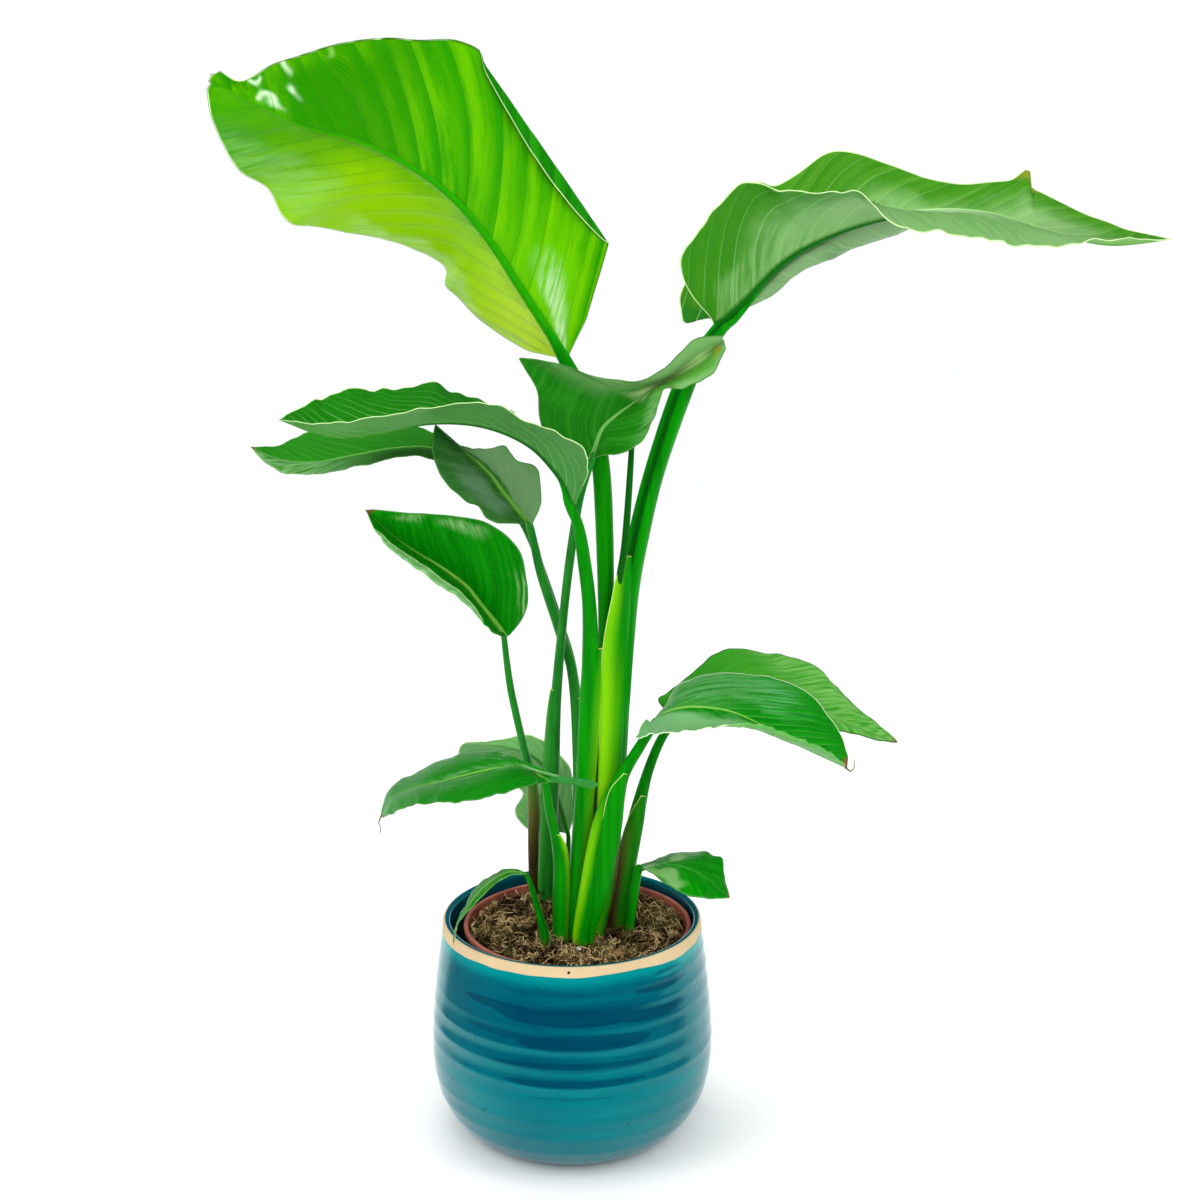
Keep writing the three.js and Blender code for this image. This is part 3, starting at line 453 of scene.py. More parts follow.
LOOKS = {
    "leaf_a": dict(
        skin="young", stalk="young", seed=21, groove=110, rib=3.3, pleat=(1.3, 25), slant=(58, 44),
        bulge=(2, 3), ripple=(0.3, 90, 0.7, 60), hems=[(-1, 0.25, 0.5, 11, 1.2, "under")],
        straight=[(-1, 0.1, 0.25), (-1, 0.25, 0.5)],
        pulls=[(1, 0.725, 0.035, 0.03, 3, (5, 4, 4)), (1, 0.645, 0.03, 0.05, 2, (-3, -7, -4)),
            (1, 0.58, 0.05, 0.05, 2, (-4, -2, -5)), (-1, 0.94, 0.03, 0.03, 2, (0, -14, -9)),
            (1, 0.93, 0.05, 0.05, 2, (2, -9, 0)), (1, 0.39, 0.03, 0.03, 2, (-8, -5, -2)),
            (-1, 0.995, 0.02, 0.01, 1, (3, -4, 5)), (-1, 0.57, 0.04, 0.05, 3, (0, 0, -2)),
            (-1, 0.5, 0.01, 0.02, 3, (4, 0, 0.5))]),
    "leaf_b": dict(
        skin="broad", seed=22, groove=240, rib=3.8, pleat=(1.2, 24), slant=(48, 48), bulge=(3, 4),
        ripple=(0.7, 80, 1.3, 40), flush=[(200, 50, 150, 540)], stain=[(270, 400, 100, 330)],
        folds=[(-1, 26, 0.27, 0.03, 0.66), (-1, 10, 0.3, 0.5, 0.86)],
        pulls=[(-1, 0.785, 0.012, 0.004, 4, (4, 8, 11)), (-1, 0.785, 0.03, 0.006, 4, (1, 2, 4)),
            (-1, 0.06, 0.02, 0.02, 2, (-5, -6, -8)), (1, 0.43, 0.02, 0.03, 2, (1, 4, 1)),
            (1, 0.105, 0.035, 0.05, 2, (-3, 0, 9))],
        upper=[((76, 130, 24), 0.25, -1),
            # Painted sheen on the left half, then on the right half.
            ((138, 178, 116), 0.7, -1, (0.42, 0.54, 0.8, 0.95), (-1, 0, 0.45, 0.9)),
            ((132, 168, 114), 0.6, 1, (0.4, 0.52, 0.9, 1), (-1, 0, 0.7, 1.2)),
            ((60, 130, 40), 0.5, 1, (0.5, 0.58, 0.7, 0.8), (-1, 0, 0.3, 0.6), 1),
            # Painted sheen along the rib, then painted shade at the base of the left half, under the curled
            # margin.
            ((176, 206, 160), 0.6, 0, (0.4, 0.5, 0.6, 0.75), (-1, 0, 0.1, 0.3)),
            ((14, 104, 20), 0.85, -1, (-2, -1, 0.07, 0.12)),
            ((128, 128, 30), 0.8, -1, (0.77, 0.78, 0.79, 0.8), (0.93, 0.99, 2, 3))],
        under=[((56, 122, 24), 0.5, 1, (-1, 0, 0.4, 0.6)),
            # Painted sheen across the right half.
            ((132, 174, 112), 0.7, 1, (0.12, 0.4, 0.6, 0.75), (-1, 0, 0.25, 0.65)),
            ((116, 176, 70), 0.7, 1, (0.8, 0.88, 2, 3)),
            ((104, 140, 92), 0.5, -1, WHOLE, (-2, -1, 1, 1.2), 0.7),
            ((134, 178, 112), 0.7, 1, (-1, 0.1, 0.3, 0.5), (-1, 0, 0.2, 0.5), 1.2),
            ((128, 162, 116), 0.9, -1, (0.04, 0.12, 0.7, 0.9), (-1, 0, 0.8, 1.1)),
            ((72, 118, 62), 0.65, -1, (0, 0.1, 0.7, 0.9), (0.1, 0.3, 2, 3), 0.8)]),
    "leaf_c": dict(
        skin="twisted", stalk="grey", seed=23, groove=190, rib=1.8, pleat=(0.5, 13), slant=(40, 40),
        ripple=(0.8, 40, 0.8, 30),
        pulls=[(-1, 0.375, 0.02, 0.02, 4, (-3, 0, 2)), (1, 0.7, 0.12, 0.1, 1.5, (0, 12, -1)),
            (-1, 0.66, 0.1, 0.1, 1.5, (0, 8, 1))]),
    "leaf_d": dict(
        skin="broad", seed=22, rib=3, pleat=(0.5, 15), slant=(40, 40), ripple=(0.8, 36, 2, 36),
        flush=[(335, 45, 150, 460)], upper=[((4, 110, 0), 0.95, 1)],
        under=[((92, 140, 92), 0.5, -1, (-2, -1, 0.6, 0.8))],
        pulls=[(-1, 0.68, 0.2, 0.2, 3, (0, 0.5, 0)), (1, 0.83, 0.05, 0.05, 2, (0, 0, 5))]),
    "leaf_e": dict(
        skin="dull", stalk="grey", seed=20, rib=2.2, pleat=(0.4, 12), slant=(38, 38), bulge=(1.5, 2),
        ripple=(0.8, 40, 0.8, 34),
        upper=[((24, 126, 8), 0.75, 1),
            ((128, 178, 118), 0.8, -1, (0.5, 0.75, 0.98, 1.1), (-1, 0, 0.8, 1.2), 0.9)]),
    "leaf_f": dict(
        skin="dark", stalk="grey", seed=20, rib=2.4, pleat=(0.6, 14), slant=(36, 36), bulge=(2, 1.5),
        ripple=(0.8, 30, 0.6, 22),
        pulls=[(-1, 0.32, 0.03, 0.03, 3, (2, 0, 4)), (1, 0.62, 0.05, 0.05, 3, (2, 0, 2))]),
    "leaf_g": dict(
        skin="glossy", stalk="grey", seed=22, rib=3, pleat=(0.35, 11), slant=(44, 44), bulge=(1.5, 3),
        ripple=(0.6, 26, 0.6, 40), stain=[(270, 400, 100, 330)], hems=[(-1, 0.2, 0.9, 6, 1, "upper")],
        # Painted highlights near the margins.
        upper=[(SHEEN, 0.45, 1, (0.58, 0.68, 0.71, 0.8), (0.6, 0.78, 0.84, 0.98), 1),
            (SHEEN, 0.35, 1, (0.8, 0.85, 0.87, 0.92), (0.5, 0.7, 0.8, 0.95), 1),
            (SHEEN, 0.5, 1, (0.06, 0.16, 0.34, 0.44), (0.7, 0.84, 0.9, 1), 0.5)]),
    "leaf_h": dict(
        skin="glossy", seed=22, rib=2.2, pleat=(0.4, 11), slant=(38, 38), ripple=(0.8, 22, 0.6, 30),
        pulls=[(1, 0.07, 0.03, 0.03, 2, (6, 0, -4)), (1, 0.18, 0.03, 0.03, 2, (8, 0, 2))],
        upper=[((20, 128, 16), 0.7, 0, (0.25, 0.4, 2, 3)),
            # Painted sheen along the rib.
            ((128, 184, 120), 0.5, 0, (0.1, 0.2, 0.6, 0.9), (0, 0.06, 0.1, 0.24), 0.8),
            ((64, 130, 70), 0.6, 1, (-2, -1, 0.22, 0.3), (0.2, 0.5, 2, 3))]),
    "leaf_i": dict(
        skin="dull", seed=19, rib=1.8, pleat=(0.3, 10), slant=(40, 40), bulge=(1, 1),
        ripple=(0.5, 26, 0.6, 24),
        under=[((140, 190, 50), 0.9, 1, (0.5, 0.6, 0.8, 0.9), (0.7, 0.8, 2, 3))]),
    "leaf_j": dict(
        skin="glossy", seed=22, rib=2.6, pleat=(0.5, 14), slant=(36, 36), ripple=(0.6, 44, 1, 17),
        flush=[(205, 50, 150, 335)], hems=[(1, 0.5, 1, 7, 1, "upper")],
        under=[((78, 164, 54), 0.75, 1, (0.4, 0.6, 2, 3))],
        paint=dict(margin=(214, 234, 190), line=(112, 182, 104), vein_width=0.04, outline=False),
        pulls=[(1, 0.05, 0.04, 0.03, 2, (2, 0, 8)), (1, 0.14, 0.04, 0.05, 2, (-1, 0, -4))],
        # Painted sheen in the pale grey-green washes.
        upper=[((122, 178, 120), 0.85, 1, (-2, -1, 0.6, 0.85), (0.05, 0.3, 2, 3)),
            ((90, 160, 80), 0.4, -1, (-2, -1, 0.3, 0.6), (-1, 0, 0.15, 0.4)),
            ((112, 172, 112), 0.6, -1, (-2, -1, 0.5, 0.8), (0.2, 0.4, 0.9, 1.1), 1),
            ((96, 180, 116), 0.5, -1, (0.5, 0.62, 0.7, 0.82), (0.2, 0.4, 0.7, 0.9), 0.6)]),
    "leaf_k": dict(
        skin="dull", stalk="deep", seed=20, groove=135, rib=2.4, pleat=(0.45, 13), slant=(38, 38),
        # The brown marks at the foot stand for old leaf bases and also for the shade between the stalks
        # there: partly painted shade.
        ripple=(0.8, 36, 0.6, 30), stain=[(205, 80, 100, 290)], sheath_stain=[(208, 80, 100, 300)],
        paint=dict(margin=(58, 98, 42)),
        upper=[((62, 160, 28), 0.4), ((30, 132, 8), 0.6, -1, (-2, -1, 0.2, 0.5), (0.4, 0.6, 2, 3)),
            ((132, 184, 104), 0.6, 0, (0.5, 0.7, 2, 3), WHOLE, 0.9)]),
    "leaf_m": dict(
        skin="glossy", seed=19, rib=1.6, pleat=(0.35, 10), slant=(40, 40), bulge=(1, 1.5),
        ripple=(0.5, 26, 0.6, 24), paint=dict(rib=(48, 142, 40)),
        pulls=[(-1, 0.78, 0.05, 0.06, 3, (4, 0, 5)), (-1, 0.52, 0.07, 0.07, 2, (0, 0, -3))],
        upper=[((20, 126, 24), 0.85, 0, WHOLE, (-2, -1, 0.05, 0.1)),
            # Painted highlight in blots.
            (SHEEN, 0.4, 0, WHOLE, (0.1, 0.3, 0.8, 1), -1)]),
    "leaf_n": dict(
        skin="dull", seed=18, groove=315, rib=1.2, pleat=(0.2, 8), slant=(35, 35), bulge=(0.5, 0.5),
        ripple=(0.4, 20, 0.5, 18)),
}

# Sheaths round the stalks, by leaf: rows of height, first and last angle and the lift there, then how yellow,
# from which share of the way round, and the lowest height where the pale margin shows.
SHEATHS = {
    "leaf_b": ([[170, 320, 216, 0, 3], [260, 318, 218, 0, 6.5], [340, 315, 219, 0, 8.5],
        [400, 310, 220, 0, 10], [449, 305, 221, 0, 12.5], [475, 300, 228, 0, 13.5], [495, 292, 233, 0, 13],
        [512, 276, 230, 0, 9.5], [530, 252, 236, 0, 3.5]], 1, 0.55, 370),
    "leaf_d": ([[170, 250, 368, 0, 0.3], [260, 250, 368, 0, 0.5], [340, 252, 366, 0, 1],
        [400, 258, 362, 0, 2], [436, 284, 358, 0, 3], [453, 326, 350, 1.6, 3.2]], 1, 0.55, 430),
    "leaf_j": ([[175, 385, 316, 0, 0.3], [230, 385, 280, 0, 0.4], [268, 384, 254, 0, 0.5],
        [300, 372, 250, 0, 0.7], [329, 350, 232, 0, 1.2], [345, 300, 262, 0, 0.8]], 0, 0.5, 315),
    "leaf_h": ([[175, 290, 372, 0, 0.6], [240, 290, 374, 0, 2], [270, 292, 370, 0, 3],
        [291, 300, 330, 0.4, 1.5]], 0.9, 0.3, 270),
    "leaf_f": ([[200, 300, 384, 0, 1.5], [318, 296, 380, 0, 2.6], [360, 296, 372, 0, 2.6],
        [394, 300, 330, 0.3, 0.8]], 0.8, 0.3, 350),
    "leaf_c": ([[200, 268, 162, 0, 1.5], [312, 268, 164, 0, 2.4], [365, 266, 170, 0, 1.8],
        [404, 240, 205, 0.3, 0.4]], 0.15, 0.3, 360),
    "leaf_k": ([[180, 400, 180, 0, 0.5], [255, 396, 186, 0, 0.6], [288, 380, 210, 0, 0.8],
        [311, 310, 262, 0.2, 0.4]], 0.1, 0.3, 290),
}

BLADE_THICKNESS = 0.55
SHEATH_HALF_THICKNESS = 0.3
RIB_COLUMNS = (0.3, 0.6, 0.85, 1.0)
RIB_LEAST = 0.45
OUT_COLUMNS = 20
OUT_CROWDING = 1.25
TIP_CLOSING = 0.97
TIP_START = 0.985
HEM_ARC = 7
HEM_FLAT = 5
FOLD_CREST = 0.82
VEIN_CURVE = 0.25
LEFT_PLEAT_SHIFT = 0.37
SIDE_SEED_STEP = 11
ROW_SPACING = 2.4
FEWEST_ROWS = 60
UPPER, UNDER, STALK, THREAD = range(4)


def rib_up(leaf, at):
    """The direction of the upper face at the rib."""
    _, slope = spline(leaf["rib"], at)
    spread = spline(leaf["right"], at)[0] - spline(leaf["left"], at)[0]
    return unit(np.cross(spread, slope))


def rib_width(leaf, look, at):
    """Half width of the rib, wider where it comes out of the stalk."""
    stem = leaf["stalk"][-1][3]
    return look["rib"] * (1 - at) ** 0.8 + RIB_LEAST + (stem * 0.85 - look["rib"]) * np.exp(-at / 0.05)


def margin_line(leaf, look, side, at):
    """The margin of one half, with its straight stretches."""
    points = leaf["left" if side < 0 else "right"]
    line = spline(points, at)[0]
    for place, first, last in look["straight"]:
        if place == side:
            ends = spline(points, [first, last])[0]
            share = ((at - first) / (last - first))[:, None]
            line = np.where((share >= 0) & (share <= 1), ends[0] + (ends[1] - ends[0]) * share, line)
    return line


def half_blade(leaf, look, side, at):
    """Points of one half from beside the rib out to the margin, rows along the rib."""
    rib, slope = spline(leaf["rib"], at)
    along = unit(slope)
    margin = margin_line(leaf, look, side, at)
    margin = margin + (rib - margin) * TIP_CLOSING * smooth(at, TIP_START, 1.0)[:, None]
    reach = margin - rib
    across = reach - along * np.sum(reach * along, axis=1, keepdims=True)
    length = np.linalg.norm(across, axis=1)
    across = unit(across)
    strip = np.minimum(rib_width(leaf, look, at), 0.3 * length)[:, None]
    up = unit(np.cross(across, along)) * side
    columns = [rib + across * strip * share for share in RIB_COLUMNS]
    start = columns[-1]
    sag = leaf.get("sag_left" if side < 0 else "sag_right", 0)
    arch = look["bulge"][0 if side < 0 else 1]
    height, wave = look["ripple"][:2] if side < 0 else look["ripple"][2:]
    ends = smooth(at, 0, 0.12) * smooth(1 - at, 0, 0.1)
    ripple = height * waves(travelled(margin), wave, look["seed"] + SIDE_SEED_STEP * side) * ends
    rise = np.sin(math.pi * at) ** 0.5
    rib_facing = rib_up(leaf, at)
    for k in range(1, OUT_COLUMNS + 1):
        v = 1 - (1 - k / OUT_COLUMNS) ** OUT_CROWDING
        bow = math.sin(math.pi * v)
        point = start + (margin - start) * v
        point = point + up * (arch * bow * rise + ripple * v ** 3)[:, None]
        point = point - rib_facing * (sag * bow * np.sin(math.pi * at))[:, None]
        for place, drop, crest, first, last in look["folds"]:
            if place == side:
                profile = drop * math.sin(math.pi * v ** (math.log(0.5) / math.log(crest)))
                ease = smooth(at, first, first + 0.16) * (1 - smooth(at, last - 0.2, last))
                point = point - rib_facing * (profile * ease)[:, None]
        for place, share, before, after, power, shift in look["pulls"]:
            if place == side:
                spread = np.where(at < share, before, after)
                point = point + np.outer(np.exp(-((at - share) / spread) ** 2) * v ** power, shift)
        columns.append(point)
    return np.stack(columns, 1)


def surface_normals(grid):
    """Upper-face directions of a grid with rows along the rib and columns from left to right."""
    return unit(np.cross(np.gradient(grid, axis=1), np.gradient(grid, axis=0)))


def add_hem(grid, side, first, last, width, radius, face, at):
    """Rolls the margin of one side over: the grid grows by the roll and the flap behind it."""
    if side < 0:
        grid = grid[:, ::-1]
    share = np.sin(math.pi * np.clip((at - first) / (last - first), 0, 1)) ** 0.6
    roll = (0.12 + share * radius)[:, None]
    flap = (0.2 + share * width)[:, None]
    out = unit(grid[:, -1] - grid[:, -3])
    up = unit((surface_normals(grid) * side)[:, -2]) * (-1 if face == "under" else 1)
    pulled = smooth(np.linspace(0, 1, grid.shape[1]), 0.6, 1)[None, :, None]
    grid = grid - out[:, None] * roll[:, None] * pulled
    edge = grid[:, -1]
    extra = []
    for k in range(1, HEM_ARC + 1):
        angle = math.pi * k / HEM_ARC
        extra.append(edge + out * roll * math.sin(angle) + up * roll * (1 - math.cos(angle)))
    for k in range(1, HEM_FLAT + 1):
        t = k / HEM_FLAT
        extra.append(edge - out * flap * t + up * (2 * roll + flap * (0.1 * t + 0.12 * t * t)))
    grid = np.concatenate([grid, np.stack(extra, 1)], 1)
    return grid[:, ::-1] if side < 0 else grid


def blade(build, leaf, look):
    rib_length = sum(math.dist(a, b) for a, b in zip(leaf["rib"], leaf["rib"][1:]))
    at = np.linspace(0, 1, max(FEWEST_ROWS, round(rib_length / ROW_SPACING)) + 1)
    rib, slope = spline(leaf["rib"], at)
    along = unit(slope)
    halves = {side: half_blade(leaf, look, side, at) for side in (-1, 1)}
    grid = np.concatenate([halves[-1][:, ::-1], rib[:, None], halves[1]], 1)
    middle = halves[-1].shape[1]
    for hem in look["hems"]:
        grid = add_hem(grid, *hem, at)
        if hem[0] < 0:
            middle += HEM_ARC + HEM_FLAT
    rows, columns = grid.shape[:2]
    from_rib = np.arange(columns) - middle

    # Place of each point beside the rib: how far along, how far out, and on which vein
    run = travelled(rib)
    offset = grid - rib[:, None]
    forward = np.sum(offset * along[:, None], axis=2)
    outward = np.linalg.norm(offset - forward[..., None] * along[:, None], axis=2)
    half = np.maximum(outward.max(axis=1), 1)[:, None]
    lean = 1 / np.tan(np.radians(np.where(from_rib < 0, *look["slant"])))
    vein = run[:, None] + forward - outward * lean * (1 + VEIN_CURVE * outward / half)
    depth, spacing = look["pleat"]
    uneven = 0.22 * spacing * np.sin(vein / (1.35 * spacing))
    pleat = vein + uneven + 0.1 * spacing * np.sin(vein / (0.6 * spacing))
    pleat = pleat / spacing + LEFT_PLEAT_SHIFT * (from_rib < 0)[None, :]
    fold = pleat % 1.0
    saw = np.where(fold < FOLD_CREST, fold / FOLD_CREST, (1 - fold) / (1 - FOLD_CREST)) - 0.5
    fade = smooth(outward / half, 0.04, 0.3) * (1 - 0.85 * smooth(outward / half, 0.6, 1.0))
    fade = fade * (smooth(at, 0, 0.1) * smooth(1 - at, 0, 0.15))[:, None]
    grid = grid + surface_normals(grid) * (depth * saw * fade)[..., None]

    # Both faces, with a sunk channel over the rib and a round ridge below it
    normals = surface_normals(grid)
    width = rib_width(leaf, look, at)[:, None]
    shares = np.array([0.0, *RIB_COLUMNS])
    place = shares[np.minimum(np.abs(from_rib), len(shares) - 1)][None, :]
    ridge = leaf["rib_depth"] * (1 - at) ** 0.9 * smooth(at, -0.02, 0.06) + 0.15
    ridge = ridge[:, None] * np.sqrt(np.maximum(0, 1 - place ** 2))
    channel = 0.18 * width * (1 - place) ** 0.8 * (1 - at[:, None] * 0.6)
    top = grid + normals * (BLADE_THICKNESS / 2 - channel)[..., None]
    bottom = grid - normals * (BLADE_THICKNESS / 2 + ridge)[..., None]

    # Distance in from the nearer margin, measured along each row
    from_left = travelled(grid, 1)
    edge = np.minimum(from_left, from_left[:, -1:] - from_left)
    edge = np.minimum(edge, (run[-1] - run)[:, None] + 0.2)
    build.shell(
        top, bottom, (UPPER, UNDER), vein=vein, pleat=pleat, edge=edge, run=np.repeat(at, columns),
        rib=outward / width, side=np.tile(np.sign(from_rib), rows), out=outward / half)


# Stalks and sheaths

NO_EDGE = 99
MARK_EASE = 40
CHANNEL_DEPTH = 0.35
CHANNEL_WIDTH = 0.42
CHANNEL_LIP = 0.05
SHEATH_STEPS, SHEATH_COLUMNS = 60, 15
PALE_BELOW, PALE_END = 400, 470
RIB_ENTRY = ((0.01, 0.9, 0.5), (0.05, 0.7, 0.95), (0.1, 0.52, 1.0), (0.17, 0.26, 1.2))


def marked(height, angles, marks):
    """How strong a colour is on a stalk, from marks of angle, spread, and lowest and highest height."""
    total = np.zeros_like(height)
    for angle, spread, low, high in marks:
        spread = math.radians(spread)
        near = smooth(-np.abs(signed(angles, angle)), -spread, -spread * 0.3)
        upright = smooth(height, low, low + MARK_EASE) * smooth(-height, -high, 60 - high)
        total = total + near * upright
    return np.clip(total, 0, 1)


def tube(build, rows, steps, sides, slot, groove=None, flush=(), stain=()):
    """A closed stalk along its rows: a channel at the groove's angle, yellow at flush and brown at stain."""
    rows = np.asarray(rows, float)
    at = np.linspace(0, 1, steps + 1)
    centre, slope = spline(rows[:, :3], at)
    size, _ = spline(rows[:, 3:5], at)
    along = unit(slope)
    across = np.array([1.0, 0, 0])
    angles = circle(sides)
    turn, pull = np.zeros(sides), np.ones(sides)
    if groove is not None:
        turn = signed(angles, groove)
        channel = CHANNEL_DEPTH * np.exp(-(turn / CHANNEL_WIDTH) ** 2)
        lip = CHANNEL_LIP * np.exp(-((np.abs(turn) - 1.6 * CHANNEL_WIDTH) / 0.3) ** 2)
        pull = 1 - channel + lip
    rings = []
    for k in range(steps + 1):
        across = across - along[k] * (across @ along[k])
        across = across / np.linalg.norm(across)
        deep = np.cross(along[k], across)
        around = centre[k] + np.outer(pull * size[k, 0] * np.cos(angles), across)
        rings.append(around + np.outer(pull * size[k, 1] * np.sin(angles), deep))
    height = np.array(rings)[:, :, 2]
    build.pipe(rings, slot, run=np.repeat(at, sides), edge=NO_EDGE, turn=np.tile(turn / math.pi, steps + 1),
               brown=marked(height, angles, stain), flush=marked(height, angles, flush))


def leaf_stalk(build, leaf, look):
    """The stalk, which runs on under the base of the rib and sinks into it."""
    rows = [list(row) for row in leaf["stalk"]]
    wide, deep = rows[-1][3:]
    for at, part, drop in RIB_ENTRY:
        share = np.array([at])
        point = spline(leaf["rib"], share)[0][0] - rib_up(leaf, share)[0] * drop * part * deep
        rows.append([*point, wide * part, deep * part])
    length = sum(math.dist(a[:3], b[:3]) for a, b in zip(rows, rows[1:]))
    tube(build, rows, max(16, round(length / 5)), 24, STALK, look["groove"], look["flush"], look["stain"])


def sheath(build, leaf, stain, rows, yellow, start_yellow, lowest_line):
    """An open leaf sheath round a stalk, brown at stain. SHEATHS says what the other values are."""
    at = np.linspace(0, 1, SHEATH_STEPS + 1)
    height, first, last, lift_first, lift_last = spline(rows, at)[0].T
    stalk, slope = spline(leaf["stalk"], np.linspace(0, 1, 400))
    slope = unit(slope[:, :3])
    share = np.linspace(0, 1, SHEATH_COLUMNS)[None, :]
    angles = np.radians(first[:, None] + (last - first)[:, None] * share)
    lifts = -0.5 + smooth(share, 0, 0.3) + lift_first[:, None] * (1 - share) ** 2
    lifts = lifts + lift_last[:, None] * share ** 2
    grid = []
    for k in range(SHEATH_STEPS + 1):
        middle = np.array([np.interp(height[k], stalk[:, 2], values) for values in stalk.T])
        along = unit(np.array([np.interp(height[k], stalk[:, 2], values) for values in slope.T]))
        across = unit(np.array([1.0, 0, 0]) - along * along[0])
        deep = np.cross(along, across)
        row = middle[:3] + np.outer((middle[3] + lifts[k]) * np.cos(angles[k]), across)
        grid.append(row + np.outer((middle[4] + lifts[k]) * np.sin(angles[k]), deep))
    grid = np.array(grid)
    from_first = travelled(grid, 1)
    edge = np.minimum(from_first[:, -1:] - from_first, (height[-1] - height)[:, None] + 0.2)
    edge = edge + 3 * smooth(-height, -lowest_line, MARK_EASE - lowest_line)[:, None]
    low = 0.4 * smooth(-height, -PALE_END, -PALE_BELOW)[:, None] * smooth(share, 0.15, 0.7)
    flush = yellow * np.clip(low + smooth(share, start_yellow, 1.05), 0, 1)
    turn = 1.0 if last.mean() > first.mean() else -1.0
    outward = surface_normals(grid) * -turn * SHEATH_HALF_THICKNESS
    build.shell(grid + outward, grid - outward, (STALK, STALK), flip=turn > 0, edge=edge, flush=flush,
                turn=1.0, brown=marked(grid[:, :, 2], angles, stain))


# Leaf paints

LEAF_TINT = (96, 196, 76)
RIB_PALE = (120, 188, 70)
MARGIN_PALE = (196, 226, 158)
MARGIN_GREEN = (74, 150, 66)
MARGIN_DARK = (64, 116, 54)


def leaf_paint(name, dark, light, rib, roughness, washes, line=RIB_PALE, fold_shade=0.75, dry_tip=False,
               specular=0.35, margin=MARGIN_PALE, outline=True, vein_width=0.028):
    """A blade's face: streaks, bands of painted shade between side veins, fine veins, washes, the rib and the
    margin.

    Each wash is a colour, its strength, a side (0 for both), a band of runs, a band of outs, and how
    streaky it is: -1 where it lies in blots and -2 where it lies in curved glints. Some washes are painted
    sheen and painted shade, and the blots and glints are painted highlights.
    """
    m = Shader(name, specular=specular, tint=LEAF_TINT)
    run, out, side, vein, pleat = (m.attribute(key) for key in ("run", "out", "side", "vein", "pleat"))
    grain = {0: m.times(vein, 0.09), 1: m.times(out, 1.3), 2: m.times(side, 9.0)}
    grain_at = m.node("ShaderNodeCombineXYZ", grain).outputs[0]
    colour = m.mix(m.step(m.noise(1.0, 4, 0.6, grain_at), 0.25, 0.75), dark, light)
    fold = m.math("FRACT", pleat)
    strip = m.plus(m.math("FLOOR", pleat), m.times(side, 50.0))
    tone = m.node("ShaderNodeTexWhiteNoise", {"W": strip}, noise_dimensions="1D").outputs["Value"]
    # Painted shade of the folds: each strip between side veins is darkest at its end nearer the stalk.
    shade = m.times(m.step(fold, 0.85, 0.0), m.step(tone, 0.0, 1.0, fold_shade - 0.3, fold_shade))
    colour = m.mix(shade, colour, dark)
    fine_streaks = m.noise(2.1, 2, 0.5, grain_at)
    # Curved lines and blots of painted highlight, for washes that lie in glints and blots.
    curls = m.step(m.math("ABSOLUTE", m.minus(m.noise(34, 1, 0.3), 0.5)), 0.06, 0.0)
    highlight_spots = {-1: m.step(m.noise(42, 1), 0.5, 0.64), -2: m.times(curls, m.step(m.noise(50, 1), 0.42, 0.56))}
    drift = m.node("ShaderNodeSeparateColor", {0: m.noise(34, 2, output="Color")}).outputs
    drifted_run = m.plus(run, m.times(m.minus(drift[0], 0.5), 0.1))
    drifted_out = m.plus(out, m.times(m.minus(drift[1], 0.5), 0.4))

    def mask(strength, place=0, runs=WHOLE, outs=WHOLE, streaky=0):
        made = m.times(m.band(drifted_run, *runs), m.band(drifted_out, *outs))
        if place:
            made = m.times(made, m.step(side, -0.5 * place, 0.5 * place))
        if streaky > 0:
            made = m.times(made, m.step(fine_streaks, 0.6 - 0.35 * streaky, 0.68))
        if streaky < 0:
            made = m.times(made, highlight_spots[streaky])
        return m.times(made, strength)

    for wash, *where in washes:
        colour = m.mix(mask(*where), colour, wash)
    near = m.math("ABSOLUTE", m.minus(fold, 0.5))
    crease = m.times(m.step(near, 0.496 - vein_width, 0.496), m.step(out, 0.98, 0.1, 0.2, 1.0))
    colour = m.mix(m.times(crease, 0.65), colour, line)
    threads = m.math("SINE", m.times(vein, TAU / 2.1))
    colour = m.mix(m.step(threads, -0.2, 1.0, 0.0, 0.14), colour, light)
    ribbed = m.times(m.step(m.attribute("rib"), 1.15, 0.7), m.step(run, 0.9, 0.55, 0.25, 1.0))
    colour = m.mix(ribbed, colour, rib)
    edge = m.plus(m.attribute("edge"), m.times(m.noise(60, 2), 0.25))
    colour = m.mix(m.step(edge, 1.5, 1.0), colour, margin)
    if outline:
        colour = m.mix(m.step(edge, 0.55, 0.3), colour, MARGIN_DARK)
    if dry_tip:
        dry = m.minus(run, m.times(m.noise(90, 3), 0.04))
        colour = m.mix(m.step(dry, 0.95, 0.97), colour, (112, 84, 44))
    rough = m.step(m.noise(30, 2), 0.3, 0.7, roughness - 0.05, roughness + 0.08)
    grain = m.bump(m.noise(900, 2), 0.0001, 0.4)
    return m.finish(colour, rough, m.bump(threads, 0.05 * MM, 0.8, grain))


